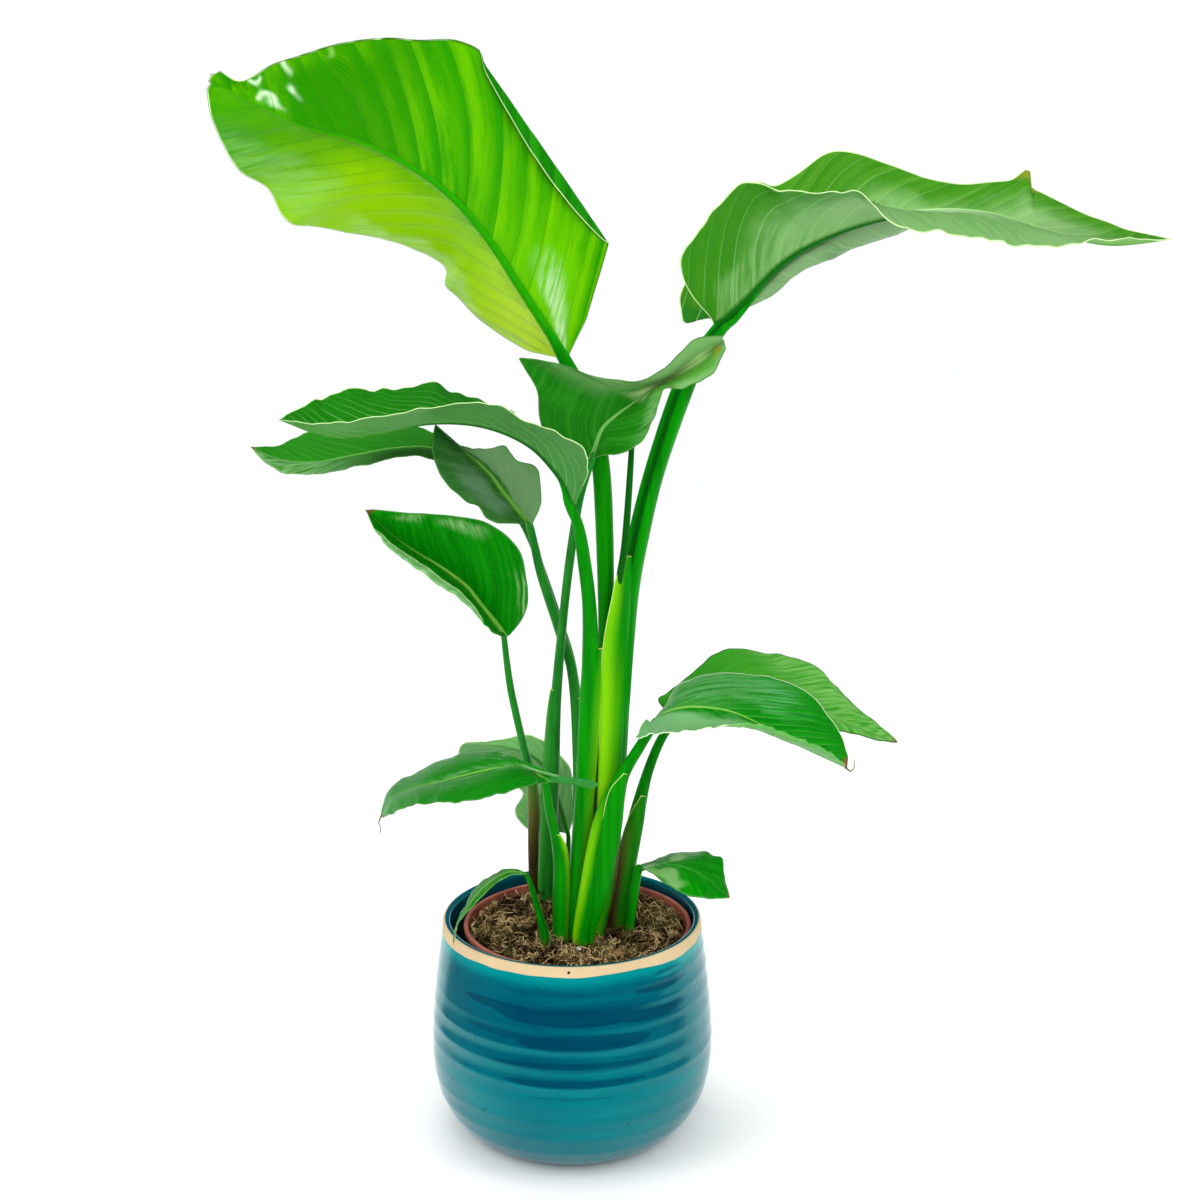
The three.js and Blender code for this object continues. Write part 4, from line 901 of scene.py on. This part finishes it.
def stalk_paint(name, green, shade, sheath):
    """A stalk: soft streaks along it, painted shade in its channel, yellow sheaths and a brown foot."""
    m = Shader(name, specular=0.45, tint=LEAF_TINT)
    streak = m.noise(1.0, 3, 0.5, stretch=(160, 160, 7))
    colour = m.mix(m.step(streak, 0.3, 0.75), green, shade)
    # Painted shade in the stalk's channel.
    channel = m.step(m.math("ABSOLUTE", m.attribute("turn")), 0.16, 0.07)
    colour = m.mix(m.times(channel, 0.8), colour, (6, 70, 14))
    height = m.node("ShaderNodeSeparateXYZ", {0: m.place()}).outputs[2]
    colour = m.mix(m.times(m.attribute("flush"), m.step(streak, 0.2, 0.6, 0.8, 1.0)), colour, sheath)
    foot = m.step(m.plus(height, m.times(m.noise(40, 2), 0.03)), 0.215, 0.196)
    colour = m.mix(m.times(foot, 0.55), colour, (92, 84, 30))
    brown = m.mix(m.step(height, 0.31, 0.22), (108, 104, 46), (64, 50, 26))
    colour = m.mix(m.attribute("brown"), colour, brown)
    colour = m.mix(m.step(m.attribute("edge"), 0.85, 0.5), colour, (190, 216, 120))
    rough = m.step(m.noise(60, 2), 0.3, 0.7, 0.3, 0.42)
    return m.finish(colour, rough, m.bump(streak, 0.0002, 0.4))


STALKS = {
    "young": stalk_paint("young_stalk", (10, 142, 0), (6, 118, 4), (124, 196, 2)),
    "bright": stalk_paint("bright_stalk", (4, 140, 2), (2, 112, 6), (118, 192, 4)),
    "deep": stalk_paint("deep_stalk", (6, 126, 8), (4, 102, 12), (96, 168, 20)),
    "grey": stalk_paint("grey_green_stalk", (34, 132, 36), (22, 112, 34), (120, 190, 60)),
}

# The paints of the upper and under face, by skin
SKINS = {
    "young": (
        dict(dark=(10, 104, 4), light=(30, 140, 10), rib=(110, 190, 40), roughness=0.22),
        dict(dark=(18, 132, 0), light=(100, 180, 0), rib=(34, 146, 0), roughness=0.3, specular=0.25,
             line=(22, 116, 0), fold_shade=1, washes=[
            ((46, 124, 0), 0.45, 0, (0.5, 0.66, 0.86, 0.94)),
            ((22, 118, 0), 0.8, -1, (0.56, 0.76, 0.86, 0.94), (-1, 0, 0.7, 1)),
            ((76, 152, 0), 0.7, 1, (0.6, 0.8, 0.92, 1), (-1, 0, 0.3, 0.6)),
            ((146, 200, 0), 0.85, 1, (-0.2, 0, 0.6, 0.85), (-0.2, 0.35, 2, 3)),
            ((206, 234, 64), 0.9, 1, (-0.2, -0.1, 0.16, 0.42), (-0.2, 0.3, 2, 3)),
            ((108, 192, 0), 0.65, -1, (-0.2, -0.1, 0.2, 0.45), (-0.2, 0.1, 0.6, 1)),
            # Painted sheen on the right half: along its margin, then nearer the tip.
            ((176, 212, 130), 0.8, 1, (0.1, 0.2, 0.5, 0.6), (0.6, 0.74, 0.84, 0.98), 1.1),
            ((138, 190, 112), 0.4, 1, (0.58, 0.68, 0.82, 0.92), (0.36, 0.7, 0.9, 1.1), 1.1),
            ((60, 152, 4), 0.6, 1, (0.84, 0.92, 2, 3)),
            # Painted sheen beside the rib near the stalk, then painted glints near the tip.
            ((180, 214, 158), 0.85, -1, (-0.2, 0, 0.2, 0.3), (0.12, 0.25, 0.38, 0.55), 0.9),
            ((206, 236, 190), 0.85, -1, (0.85, 0.88, 0.95, 0.975), (0.15, 0.35, 1, 1.2), -2),
            ((170, 214, 110), 0.5, -1, (0.66, 0.72, 0.76, 0.82), (0.8, 0.9, 0.98, 1.1), -2)]),
    ),
    "broad": (
        dict(dark=(26, 112, 4), light=(74, 142, 34), rib=(150, 200, 124), roughness=0.36, outline=False,
             line=(152, 196, 130), vein_width=0.05),
        dict(dark=(26, 128, 2), light=(64, 144, 16), rib=(14, 96, 14), roughness=0.4, outline=False,
             line=(136, 184, 116), vein_width=0.05),
    ),
    "twisted": (
        dict(dark=(10, 108, 6), light=(46, 136, 32), rib=(118, 180, 92), roughness=0.4, line=(72, 150, 58),
             margin=(84, 146, 62), washes=[
            # Painted sheen over the middle of the left half.
            ((108, 156, 92), 0.75, -1, (0.36, 0.52, 0.75, 0.9), (0.2, 0.5, 2, 3)),
            ((124, 168, 108), 0.7, 1, (0.3, 0.45, 0.8, 0.9), (0.3, 0.5, 1, 1.2), 1),
            ((124, 172, 104), 0.85, 0, (0.6, 0.75, 2, 3), (-1, 0, 2, 3)),
            ((72, 150, 26), 0.75, 1, (0.5, 0.7, 0.9, 1), (-1, 0, 0.6, 0.9)),
            # A pale wash along the rib near the tip: painted light against the shade in the fold.
            ((190, 222, 150), 0.9, 0, (0.5, 0.62, 0.86, 0.95), (-1, 0, 0.12, 0.36)),
            ((150, 150, 30), 0.9, 1, (0.93, 0.95, 0.97, 0.99), (0, 0.2, 0.5, 0.7))]),
        dict(dark=(96, 156, 84), light=(136, 186, 120), rib=(60, 128, 50), roughness=0.48),
    ),
    "dull": (
        dict(dark=(16, 108, 10), light=(60, 140, 40), rib=(104, 172, 74), roughness=0.4, dry_tip=True,
             margin=(124, 184, 96)),
        dict(dark=(84, 148, 76), light=(122, 178, 110), rib=(60, 128, 50), roughness=0.48),
    ),
    "dark": (
        dict(dark=(36, 96, 36), light=(72, 126, 62), rib=(104, 166, 60), roughness=0.36,
             line=(128, 166, 116), margin=MARGIN_GREEN, washes=[
            # Painted sheen on the left half, then on the right half.
            ((104, 140, 108), 0.75, -1, (0.15, 0.3, 0.5, 0.75), (0.1, 0.3, 0.5, 0.8)),
            ((112, 150, 102), 0.8, 1, (-1, 0, 0.8, 1), (0.1, 0.2, 0.9, 1.2)),
            ((26, 100, 30), 0.8, 0, (0.75, 0.95, 2, 3))]),
        dict(dark=(66, 122, 60), light=(98, 152, 86), rib=(40, 100, 36), roughness=0.5),
    ),
    "glossy": (
        dict(dark=(0, 110, 4), light=(14, 142, 10), rib=RIB_PALE, roughness=0.26, dry_tip=True,
             line=(34, 148, 30), margin=MARGIN_GREEN),
        dict(dark=(92, 156, 84), light=(136, 190, 124), rib=(70, 138, 60), roughness=0.45),
    ),
}


def skin(name, look):
    """The upper and under face paints of one leaf, with its own washes over its skin's."""
    paints = []
    for face, recipe in zip(("upper", "under"), SKINS[look["skin"]]):
        washes = [*recipe.get("washes", ()), *look[face]]
        paints.append(leaf_paint(f"{name}_{face}", **{**recipe, **look["paint"], "washes": washes}))
    return paints


def dry_paint():
    m = Shader("dry_thread", roughness=0.8, specular=0.2)
    return m.finish(m.mix(m.noise(400, 3), (70, 58, 36), (134, 104, 62)))


DRY = dry_paint()
THREADS = {
    "leaf_h": [
        [-160, -60, 314, 0.8, 0.8], [-163, -56, 306, 0.5, 0.5], [-162, -52, 300, 0.4, 0.4],
        [-163, -50, 294, 0.3, 0.3]],
    "leaf_j": [
        [231, -61, 357, 0.9, 0.9], [236, -62, 354, 0.6, 0.6], [239, -61, 358, 0.4, 0.4],
        [239, -60, 363, 0.3, 0.3]],
}

for name, leaf in LEAVES.items():
    look = {**LOOK_DEFAULTS, **LOOKS[name]}
    made = Build()
    blade(made, leaf, look)
    leaf_stalk(made, leaf, look)
    if name in SHEATHS:
        sheath(made, leaf, look["sheath_stain"], *SHEATHS[name])
    if name in THREADS:
        tube(made, THREADS[name], 24, 8, THREAD)
    paints = [*skin(name, look), STALKS[look["stalk"]], DRY]
    made.piece("dressed_" + name, paints, [name], "young_leaf" if name == "leaf_a" else "leaf")

rolled = Build()
tube(rolled, SPEAR, 90, 16, 0)
rolled.piece("dressed_spear", [STALKS["bright"]], ["spear"], "young_leaf")


# Glazed pot

CENTRE = 0.5
RIM_HEIGHT = 200
RIM_RADIUS = 115
RIM_ROUND = 3
POT_WALL = 7
POT_FLOOR = 8
POT_SHOULDER = RIM_HEIGHT - RIM_ROUND
POT_OUTLINE = [
    [72, 0], [92, 6], [107, 18], [119, 38], [125, 64], [126, 92], [124, 124], [120, 160],
    [RIM_RADIUS, POT_SHOULDER],
]
RILL_PITCH = 17
RILL_DEPTH = 0.6
RILL_LOWEST = 26
RILL_END = 190
GLAZE_LINE = 191
# Millimetres above the glaze line where all is glazed, and where all is bare
GLAZED, BARE = -20, 8
POT_FOOT_RADIUS = 66
POT_SIDES = 240

outline = spline(POT_OUTLINE, np.linspace(0, 1, 800))[0]


def pot_radius(z):
    return np.interp(z, outline[:, 1], outline[:, 0])


# Painted dark reflections on the glaze, as crescents: height, half height, softness of the upper edge, first
# and last degrees from the front, and strength
DARK_REFLECTIONS = [
    (177, 4, 4, -34, 34, 0.4), (173, 4.5, 1.5, 27, 58, 0.75), (184, 2.5, 1.2, 36, 56, 0.5),
    (160, 12, 15, -36, 42, 1.0), (161, 4.5, 1.5, -49, -12, 0.9), (151, 5, 1.5, 20, 56, 0.9),
    (134, 8.5, 1.4, -22, 34, 0.7), (138, 4, 1.4, -48, -8, 0.6), (113, 5, 1.4, -34, 38, 0.62),
    (98.5, 4.6, 1.4, -28, 30, 0.62), (85.5, 2.2, 1, -18, 18, 0.5), (152, 7, 5, 92, 150, 0.5),
    (128, 5, 3, -128, -72, 0.45), (168, 6, 4, -150, -96, 0.5), (110, 5, 2, 104, 172, 0.45),
    (142, 6, 3, 160, 230, 0.5),
]


def from_front(angles):
    """Degrees round the pot, from its front."""
    return (np.degrees(angles) + 270) % 360 - 180


def rill_swell(angles, index):
    """How far each finger-drawn ridge stands out round the pot."""
    return np.clip(0.8 + 0.5 * waves(angles / TAU + 0.31 * index, 1.0, SEED + index, 2), 0.25, 1.2)


def rill_strength(z, away):
    """How deep the ridges are: faint near the foot, high up in front, and at the sides."""
    ends = smooth(z, RILL_LOWEST - 12, RILL_LOWEST + 6) * smooth(RILL_END - z, 0, 14)
    calm = smooth(z, 148, 158) * smooth(-np.abs(away), -38, -12)
    strength = ends * (0.5 + 0.5 * smooth(z, 78, 92))
    return strength * (1 - 0.85 * calm) * (1 - 0.65 * smooth(np.abs(away), 45, 80))


def pooled(z, away):
    """How strong the painted dark reflection is at this height, round the pot."""
    total = np.zeros_like(away)
    for height, half, soft, first, last, strength in DARK_REFLECTIONS:
        middle = (first + last) / 2
        share = ((away - middle + 180) % 360 - 180) / (last - middle)
        reach = half * np.sqrt(np.maximum(0, 1 - share ** 2))
        edges = smooth(reach - z + height, -0.4, soft) * smooth(reach + z - height, -0.4, 1.2)
        total = np.maximum(total, strength * edges)
    return total


def glazed_pot():
    made = Build()
    angles = circle(POT_SIDES)
    away = from_front(angles)
    rings, bare, pool = [], [], []

    def add(radius, height, above_glaze, dark=0.0):
        rings.append(ring(radius, height, angles))
        bare.append(np.broadcast_to(above_glaze, angles.shape))
        pool.append(np.broadcast_to(dark, angles.shape))

    line = GLAZE_LINE + 1.1 * waves(angles / TAU, 1 / 3, SEED + 3, 5)
    phase = 0.3 * np.sin(angles + 0.6) + 0.14 * np.sin(2 * angles + 2.0)
    add(CENTRE, 0, GLAZED)
    add(POT_FOOT_RADIUS, 0, GLAZED)
    for z in [*np.linspace(0, 20, 22), *np.arange(21, POT_SHOULDER, 1.1), POT_SHOULDER]:
        t = (z - RILL_LOWEST) / RILL_PITCH + phase / TAU * 1.2
        crest = 1 - np.abs(np.sin(math.pi * t)) ** 1.3
        lowest, highest = math.floor(t.min() + 0.5), math.floor(t.max() + 0.5)
        uneven = np.where(t + 0.5 < highest, rill_swell(angles, lowest), rill_swell(angles, highest))
        glaze = 0.25 * smooth(line - z, -0.2, 1.2)
        rill = RILL_DEPTH * (2 * crest * uneven - 1) * rill_strength(z, away) * 0.9
        add(pot_radius(z) - 0.4 + glaze + rill, z, z - line, pooled(z, away))
    middle = RIM_RADIUS - POT_WALL / 2
    for k in range(1, 12):
        angle = math.pi * k / 12
        height = POT_SHOULDER + RIM_ROUND * math.sin(angle) ** 0.7
        add(middle + POT_WALL / 2 * math.cos(angle), height, BARE if k <= 4 else GLAZED)
    for z in [*np.arange(POT_SHOULDER, 20, -4.0), *np.linspace(20, POT_FLOOR, 8)]:
        add(pot_radius(z) - POT_WALL, z, GLAZED)
    add(CENTRE, POT_FLOOR, GLAZED)
    made.pipe(rings, bare=bare, pool=pool)
    return made


GLAZE_IOR = 1.6
RIM_SPOT = (-0.001, -0.1155, 0.1955)


def glaze_paint():
    m = Shader("teal_glaze", specular=1.0, tint=(30, 222, 206))
    m.surface.inputs["IOR"].default_value = GLAZE_IOR
    deep, teal, pale = (0, 60, 82), (0, 88, 102), (0, 114, 124)
    colour = m.mix(m.step(m.noise(9, 3, 0.6), 0.3, 0.7), (0, 74, 94), teal)
    drawn = m.noise(1.0, 3, 0.6, stretch=(7, 7, 70))
    colour = m.mix(m.step(drawn, 0.45, 0.8, 0.0, 0.5), colour, pale)
    colour = m.mix(m.step(m.noise(70, 5, 0.7), 0.5, 0.8, 0.0, 0.3), colour, deep)
    crackle = m.step(m.cells(240, feature="DISTANCE_TO_EDGE"), 0.04, 0.0)
    colour = m.mix(m.times(crackle, 0.16), colour, deep)
    pit = m.step(m.cells(38), 0.07, 0.03)
    colour = m.mix(pit, colour, (0, 46, 58))
    bare = m.attribute("bare")
    # Painted light: a paler teal band just below the glaze line, where the shoulder faces up.
    colour = m.mix(m.times(m.step(bare, -14.0, -1.0), 0.8), colour, (0, 138, 138))
    # Painted dark reflections in crescents round the pot, with ragged edges.
    dark_reflection_mask = m.minus(m.attribute("pool"), m.times(m.noise(60, 4, 0.6, stretch=(1, 1, 4)), 0.16))
    colour = m.mix(m.step(dark_reflection_mask, 0.0, 0.75, 0.0, 0.85), colour, (0, 52, 78))
    clay = m.step(m.plus(bare, m.times(m.minus(m.noise(45, 2), 0.5), 1.6)), -0.2, 0.2)
    spot = m.step(m.vector("DISTANCE", m.place(), RIM_SPOT)["Value"], 0.0018, 0.0012)
    clay_colour = m.mix(spot, m.mix(m.noise(25), (200, 166, 124), (216, 188, 148)), (40, 36, 24))
    colour = m.mix(clay, colour, clay_colour)
    rough = m.step(clay, 0.0, 1.0, 0.05, 0.8)
    surface = m.minus(m.times(m.noise(18, 2), 0.6), m.times(pit, 0.8))
    return m.finish(colour, rough, m.bump(surface, 0.0006, 0.18))


glazed_pot().piece("dressed_glazed_pot", [glaze_paint()], ["glazed_pot"], "glaze")


# Growing pot inside it

TUB_OFFSET = 5
TUB_HEIGHT = 185
TUB_FOOT_RADIUS = 80
TUB_TOP_RADIUS = 99
TUB_WALL = 1.4
TUB_LIP = 2.6
TUB_BASE = POT_FLOOR + 0.35
TUB_SIDES = 120


def tub_radius(z):
    return TUB_FOOT_RADIUS + (TUB_TOP_RADIUS - TUB_FOOT_RADIUS) * z / TUB_HEIGHT


def growing_pot():
    made = Build()
    top = TUB_HEIGHT
    lip = tub_radius(top) + TUB_LIP
    mouth = tub_radius(top) - TUB_WALL
    foot = TUB_FOOT_RADIUS - 3
    profile = [
        (CENTRE, 0), (foot, 0), (tub_radius(3), 3), (tub_radius(90), 90), (tub_radius(top - 9), top - 9),
        (tub_radius(top - 9) + TUB_LIP, top - 8), (lip, top - 1.5), (lip - 0.5, top - 0.4), (lip - 1.2, top),
        (mouth + 0.8, top), (mouth + 0.2, top - 0.4), (mouth, top - 1.5), (tub_radius(3) - TUB_WALL, 3),
        (foot - TUB_WALL, TUB_WALL), (CENTRE, TUB_WALL),
    ]
    made.pipe([ring(radius, TUB_BASE + z, circle(TUB_SIDES), TUB_OFFSET) for radius, z in profile])
    return made


def tub_paint():
    m = Shader("growing_pot_plastic", specular=0.4)
    colour = m.mix(m.step(m.noise(40, 4), 0.35, 0.65), (150, 76, 64), (176, 98, 82))
    colour = m.mix(m.step(m.noise(200, 3), 0.58, 0.7, 0.0, 0.6), colour, (92, 62, 46))
    rough = m.step(m.noise(80, 2), 0.3, 0.7, 0.45, 0.65)
    return m.finish(colour, rough, m.bump(m.noise(700, 2), 0.0001, 0.4))


growing_pot().piece("dressed_nursery_pot", [tub_paint()], ["nursery_pot"], "growing_pot_plastic")


# Soil and moss

SOIL_TOP = 185
SOIL_RADIUS = tub_radius(SOIL_TOP - TUB_BASE) - TUB_WALL - 0.6
SOIL_SIDES = 180
SOIL_RINGS = 56
MOUNDS = [(-52, 34, 7), (58, 46, 5), (-66, -30, 4)]
MOUND_SPREAD = 900


def soil_lumps(x, y):
    broad = waves(x + 0.4 * y, 33, SEED + 20) * waves(y - 0.3 * x, 29, SEED + 21)
    return 3.0 * broad + 2.8 * waves(x - 0.7 * y, 15, SEED + 22) * waves(y + 0.5 * x, 17, SEED + 23)


def soil_height(x, y):
    """Lumpy top of the soil at a point measured from the growing pot's axis."""
    r = np.hypot(x, y)
    mounds = sum(rise * np.exp(-((x - mx) ** 2 + (y - my) ** 2) / MOUND_SPREAD) for mx, my, rise in MOUNDS)
    crown = SOIL_TOP + 1.8 * (1 - (r / SOIL_RADIUS) ** 2)
    return crown + (soil_lumps(x, y) + mounds) * smooth(SOIL_RADIUS - r, 0, 8)


def soil():
    made = Build()
    angles = circle(SOIL_SIDES)
    foot = TUB_BASE + 2
    sides = ((CENTRE, foot), (TUB_FOOT_RADIUS - 6, foot), (tub_radius(20) - 3, TUB_BASE + 20),
             (SOIL_RADIUS, SOIL_TOP - 6))
    rings = [ring(radius, z, angles, TUB_OFFSET) for radius, z in sides]
    for k in range(SOIL_RINGS + 1):
        radius = max(SOIL_RADIUS * (1 - k / SOIL_RINGS), CENTRE)
        height = soil_height(radius * np.cos(angles), radius * np.sin(angles))
        rings.append(ring(radius, height, angles, TUB_OFFSET))
    made.pipe(rings)
    return made


def soil_paint():
    m = Shader("peat", roughness=0.95, specular=0.2)
    colour = m.ramp(m.noise(150, 6, 0.7), [(0.3, (20, 15, 9)), (0.6, (58, 42, 26)), (0.8, (96, 72, 44))])
    return m.finish(colour, None, m.bump(m.noise(260, 6, 0.7), 0.002, 1.0))


MOSS_TUFTS = 300
MOSS_STRANDS = 7200
MOSS_STEPS = 4
TUFT_SPREAD = 3.2
SHADED_PLACE = (36, -8)
SHADED_SPREAD = 500


def moss():
    """Curled strands of dry moss lying over the soil in tufts, each a thin tapering three-sided thread."""
    rng = np.random.default_rng(SEED)
    made = Build()
    tufts = []
    while len(tufts) < MOSS_TUFTS:
        x, y = rng.uniform(-SOIL_RADIUS, SOIL_RADIUS, 2)
        if math.hypot(x, y) < SOIL_RADIUS - 3:
            tufts.append((x, y, rng.uniform(0, TAU), rng.random()))
    for _ in range(MOSS_STRANDS):
        cx, cy, lean, tone = tufts[rng.integers(len(tufts))]
        x, y = cx + rng.normal(0, TUFT_SPREAD), cy + rng.normal(0, TUFT_SPREAD)
        if math.hypot(x, y) > SOIL_RADIUS - 2:
            continue
        length = rng.uniform(5, 15)
        heading = lean + rng.normal(0, 1.0)
        bend = rng.normal(0, 1.5)
        lift = abs(rng.normal(0, 2.8)) + 0.3
        thick = rng.uniform(0.4, 0.95)
        rings = []
        for k in range(MOSS_STEPS + 1):
            t = k / MOSS_STEPS
            turn = heading + bend * t
            px, py = x + length * t * math.cos(turn), y + length * t * math.sin(turn)
            reach = math.hypot(px, py)
            if reach > SOIL_RADIUS - 1:
                px, py = px * (SOIL_RADIUS - 1) / reach, py * (SOIL_RADIUS - 1) / reach
            pz = float(soil_height(px, py)) + lift * math.sin(math.pi * (0.15 + 0.75 * t))
            out = np.array([-math.sin(turn), math.cos(turn), 0])
            radius = thick * (1 - 0.75 * t)
            across, up = np.outer(np.cos(circle(3)), out), np.outer(np.sin(circle(3)), [0, 0, 1])
            rings.append([px, py, pz] + radius * (across + up))
        # Painted shade: strands lying lower in the lumps, and less lifted, are darker, and those near the
        # stalks darker still.
        shaded = 0.4 * math.exp(-math.dist((x, y), SHADED_PLACE) ** 2 / SHADED_SPREAD)
        height = 0.5 + 0.1 * float(soil_lumps(x, y)) + 0.06 * (lift - 2.2) - shaded
        tone = height + 0.6 * (tone - 0.5) + rng.normal(0, 0.2)
        made.pipe(np.array(rings) + np.array([TUB_OFFSET, 0, 0]), tone=tone)
    return made


def moss_paint():
    m = Shader("moss", roughness=0.85, specular=0.2)
    stops = [(0.2, (20, 14, 7)), (0.5, (70, 51, 27)), (0.72, (124, 97, 56)), (1.0, (210, 180, 130))]
    colour = m.ramp(m.attribute("tone"), stops)
    colour = m.mix(m.step(m.noise(28, 2), 0.5, 0.65, 0.0, 0.35), colour, (116, 112, 60))
    return m.finish(colour, None, m.bump(m.noise(1500, 2), 0.0002, 0.5))


# Loose bits on the soil: x and y from the pot's axis, size, and tone from white grain to brown chip
BITS = [
    (-3, -53, 2.2, 0.05), (2, -56, 1.8, 0.1), (6, -51, 2.4, 0), (-8, -59, 1.6, 0.3), (14, -55, 1.5, 0.1),
    (41, -61, 4.6, 0.75), (-58, -50, 2, 0.2), (-40, -66, 1.6, 0.1), (62, -44, 2.2, 0.5), (25, -84, 2, 0.6),
    (-20, -80, 2.6, 0.9), (-68, -20, 2.4, 0.6), (78, 8, 2, 0.3), (52, 40, 2.6, 0.8), (-45, 40, 2.4, 0.4),
    (20, 70, 2.2, 0.2), (-10, -62, 1.4, 0.05), (33, -60, 1.8, 0.45),
]
BIT_ROWS, BIT_COLUMNS = 7, 10
BIT_SHAPE = (1.25, 0.9, 0.7)
BIT_END = 0.48


def bits():
    made = Build()
    rng = np.random.default_rng(SEED + 5)
    lat = np.linspace(-BIT_END * math.pi, BIT_END * math.pi, BIT_ROWS)[:, None]
    lon = circle(BIT_COLUMNS)[None, :]
    ball = np.stack([np.cos(lat) * np.cos(lon), np.cos(lat) * np.sin(lon), np.sin(lat) + 0 * lon], 2)
    for x, y, size, tone in BITS:
        rough = 1 + rng.normal(0, 0.14, (BIT_ROWS, BIT_COLUMNS, 1))
        top = float(soil_height(x - TUB_OFFSET, y)) + 1.2 + 0.5 * size
        made.pipe(ball * rough * np.array(BIT_SHAPE) * size + np.array([x, y, top]), tone=tone)
    return made


def bits_paint():
    m = Shader("loose_bits", roughness=0.9, specular=0.2)
    stops = [(0.0, (236, 236, 226)), (0.3, (190, 184, 160)), (0.6, (166, 124, 76)), (0.95, (104, 74, 44))]
    dirt = m.step(m.noise(500, 3), 0.4, 0.7, 0.0, 0.4)
    colour = m.mix(dirt, m.ramp(m.attribute("tone"), stops), (88, 78, 56))
    return m.finish(colour, None, m.bump(m.noise(700, 3), 0.0006, 0.8))


soil().piece("dressed_soil", [soil_paint()], ["potting_soil"], "soil_and_moss")
moss().piece("moss", [moss_paint()], slot="soil_and_moss")
bits().piece("loose_bits", [bits_paint()], slot="soil_and_moss")


# Floor, light and camera, with lengths in metres

FLOOR_SIDES = 96
FLOOR_RINGS = [(0.001, 0), (1.5, 0), (2.6, 0), (3.2, 0.08), (3.7, 0.3), (4, 0.8), (4.1, 2), (4.1, 3.4)]


def sheet(name, rings, closed):
    """A mesh through rings of points round the object."""
    mesh = bpy.data.meshes.new(name)
    faces = grid_faces(len(rings), len(rings[0]), closed=closed)
    mesh.from_pydata(np.vstack(rings).tolist(), [], faces.tolist())
    return mesh


def sweep():
    """A pale floor that curves up into a backdrop on every side."""
    mesh = sheet("floor", [ring(radius, z, circle(FLOOR_SIDES)) for radius, z in FLOOR_RINGS], True)
    mesh.polygons.foreach_set("use_smooth", [True] * len(mesh.polygons))
    floor = link("floor", mesh)
    m = Shader("pale_floor", roughness=0.7, specular=0.2)
    mesh.materials.append(m.finish(m.mix(m.noise(3, 2), (246, 247, 248), (252, 252, 252))))


CARD_MIDDLE = -102
CARD_COLUMNS = 61
WHOLE_TURN = 180
NO_CORE = 400
FRONT_CARD = [
    (0.3, 0.002, 116, 20, 1.0), (0.5, 0.004, 116, 26, 0.3), (0.8, 0.01, 116, 40, 0.0),
    (1.2, 0.03, 112, 55, 0.0), (2.1, 0.12, 100, 62, 0.0), (2.6, 0.8, 84, 62, 0.0),
]
UPPER_CARD = [
    (radius, height, WHOLE_TURN, NO_CORE, 0.0)
    for radius, height in ((2.6, 0.82), (2.7, 2.2), (2.3, 3.1), (1.2, 3.6), (0.2, 3.8))
]


def dark_card(name, rings, dark, light):
    """Dark surroundings that only show in reflections.

    Rings are radius, height, the degrees that they reach and that stay dark on each side, and least fade.
    """
    spread = np.linspace(-1, 1, CARD_COLUMNS)
    rows, fades = [], []
    for radius, height, reach, core, least in rings:
        rows.append(ring(radius, height, np.radians(CARD_MIDDLE + reach * spread)))
        away = np.abs(reach * spread)
        ends = smooth(away, 0.82 * reach, reach) * (reach < WHOLE_TURN)
        fades.append(np.maximum(0.5 * smooth(away, 0.7 * core, 1.2 * core) + 0.5 * ends, least))
    mesh = sheet(name, rows, False)
    point_values(mesh, "fade", np.concatenate(fades))
    card = link(name, mesh)
    card.visible_camera = card.visible_diffuse = card.visible_shadow = card.visible_transmission = False
    m = Shader(name, roughness=0.9, specular=0.0)
    fade = m.attribute("fade")
    colour = m.mix(m.step(fade, 0.0, 0.5), m.mix(m.noise(3, 2), dark, light), (104, 110, 112))
    mesh.materials.append(m.finish(m.mix(m.step(fade, 0.5, 1.0), colour, (236, 238, 238))))


# Area lights: name, place, height that they face, width and height, and watts
LIGHTS = [
    ("window_left", (-1.8, -1.2, 1.9), 0.5, (1.4, 1.8), 24),
    ("window_right", (1.9, -0.9, 1.7), 0.5, (1.2, 1.6), 14),
    ("overhead", (-0.3, 0.3, 2.4), 0.4, (1.2, 1.2), 16),
    ("front_fill", (0.3, -2.2, 1.5), 0.5, (1.6, 1.2), 16),
]
SKY_STRENGTH = 0.9


def area_light(name, place, facing, size, watts):
    data = bpy.data.lights.new(name, "AREA")
    data.shape = "RECTANGLE"
    data.size, data.size_y = size
    data.energy = watts
    lamp = link(name, data)
    lamp.location = place
    lamp.rotation_euler = (Vector((0, 0, facing)) - Vector(place)).to_track_quat("-Z", "Y").to_euler()
    lamp.visible_glossy = False


sweep()
dark_card("front_card", FRONT_CARD, (28, 32, 34), (46, 50, 52))
dark_card("upper_card", UPPER_CARD, (44, 50, 46), (66, 72, 66))
world = bpy.data.worlds.new("studio")
world.use_nodes = True
world.node_tree.nodes["Background"].inputs["Color"].default_value = (1, 1, 1, 1)
world.node_tree.nodes["Background"].inputs["Strength"].default_value = SKY_STRENGTH
bpy.context.scene.world = world
for light in LIGHTS:
    area_light(*light)

CAMERA_PLACE = (0.025, -1.535, 0.839)
CAMERA_DOWN = 12.9
CAMERA_LENS = 55.08
camera_data = bpy.data.cameras.new("camera")
camera_data.sensor_width = 36
camera_data.lens = CAMERA_LENS
camera = link("camera", camera_data)
camera.location = CAMERA_PLACE
camera.rotation_euler = (math.radians(90 - CAMERA_DOWN), 0, 0)
bpy.context.scene.camera = camera
bpy.context.scene.view_settings.view_transform = "Standard"
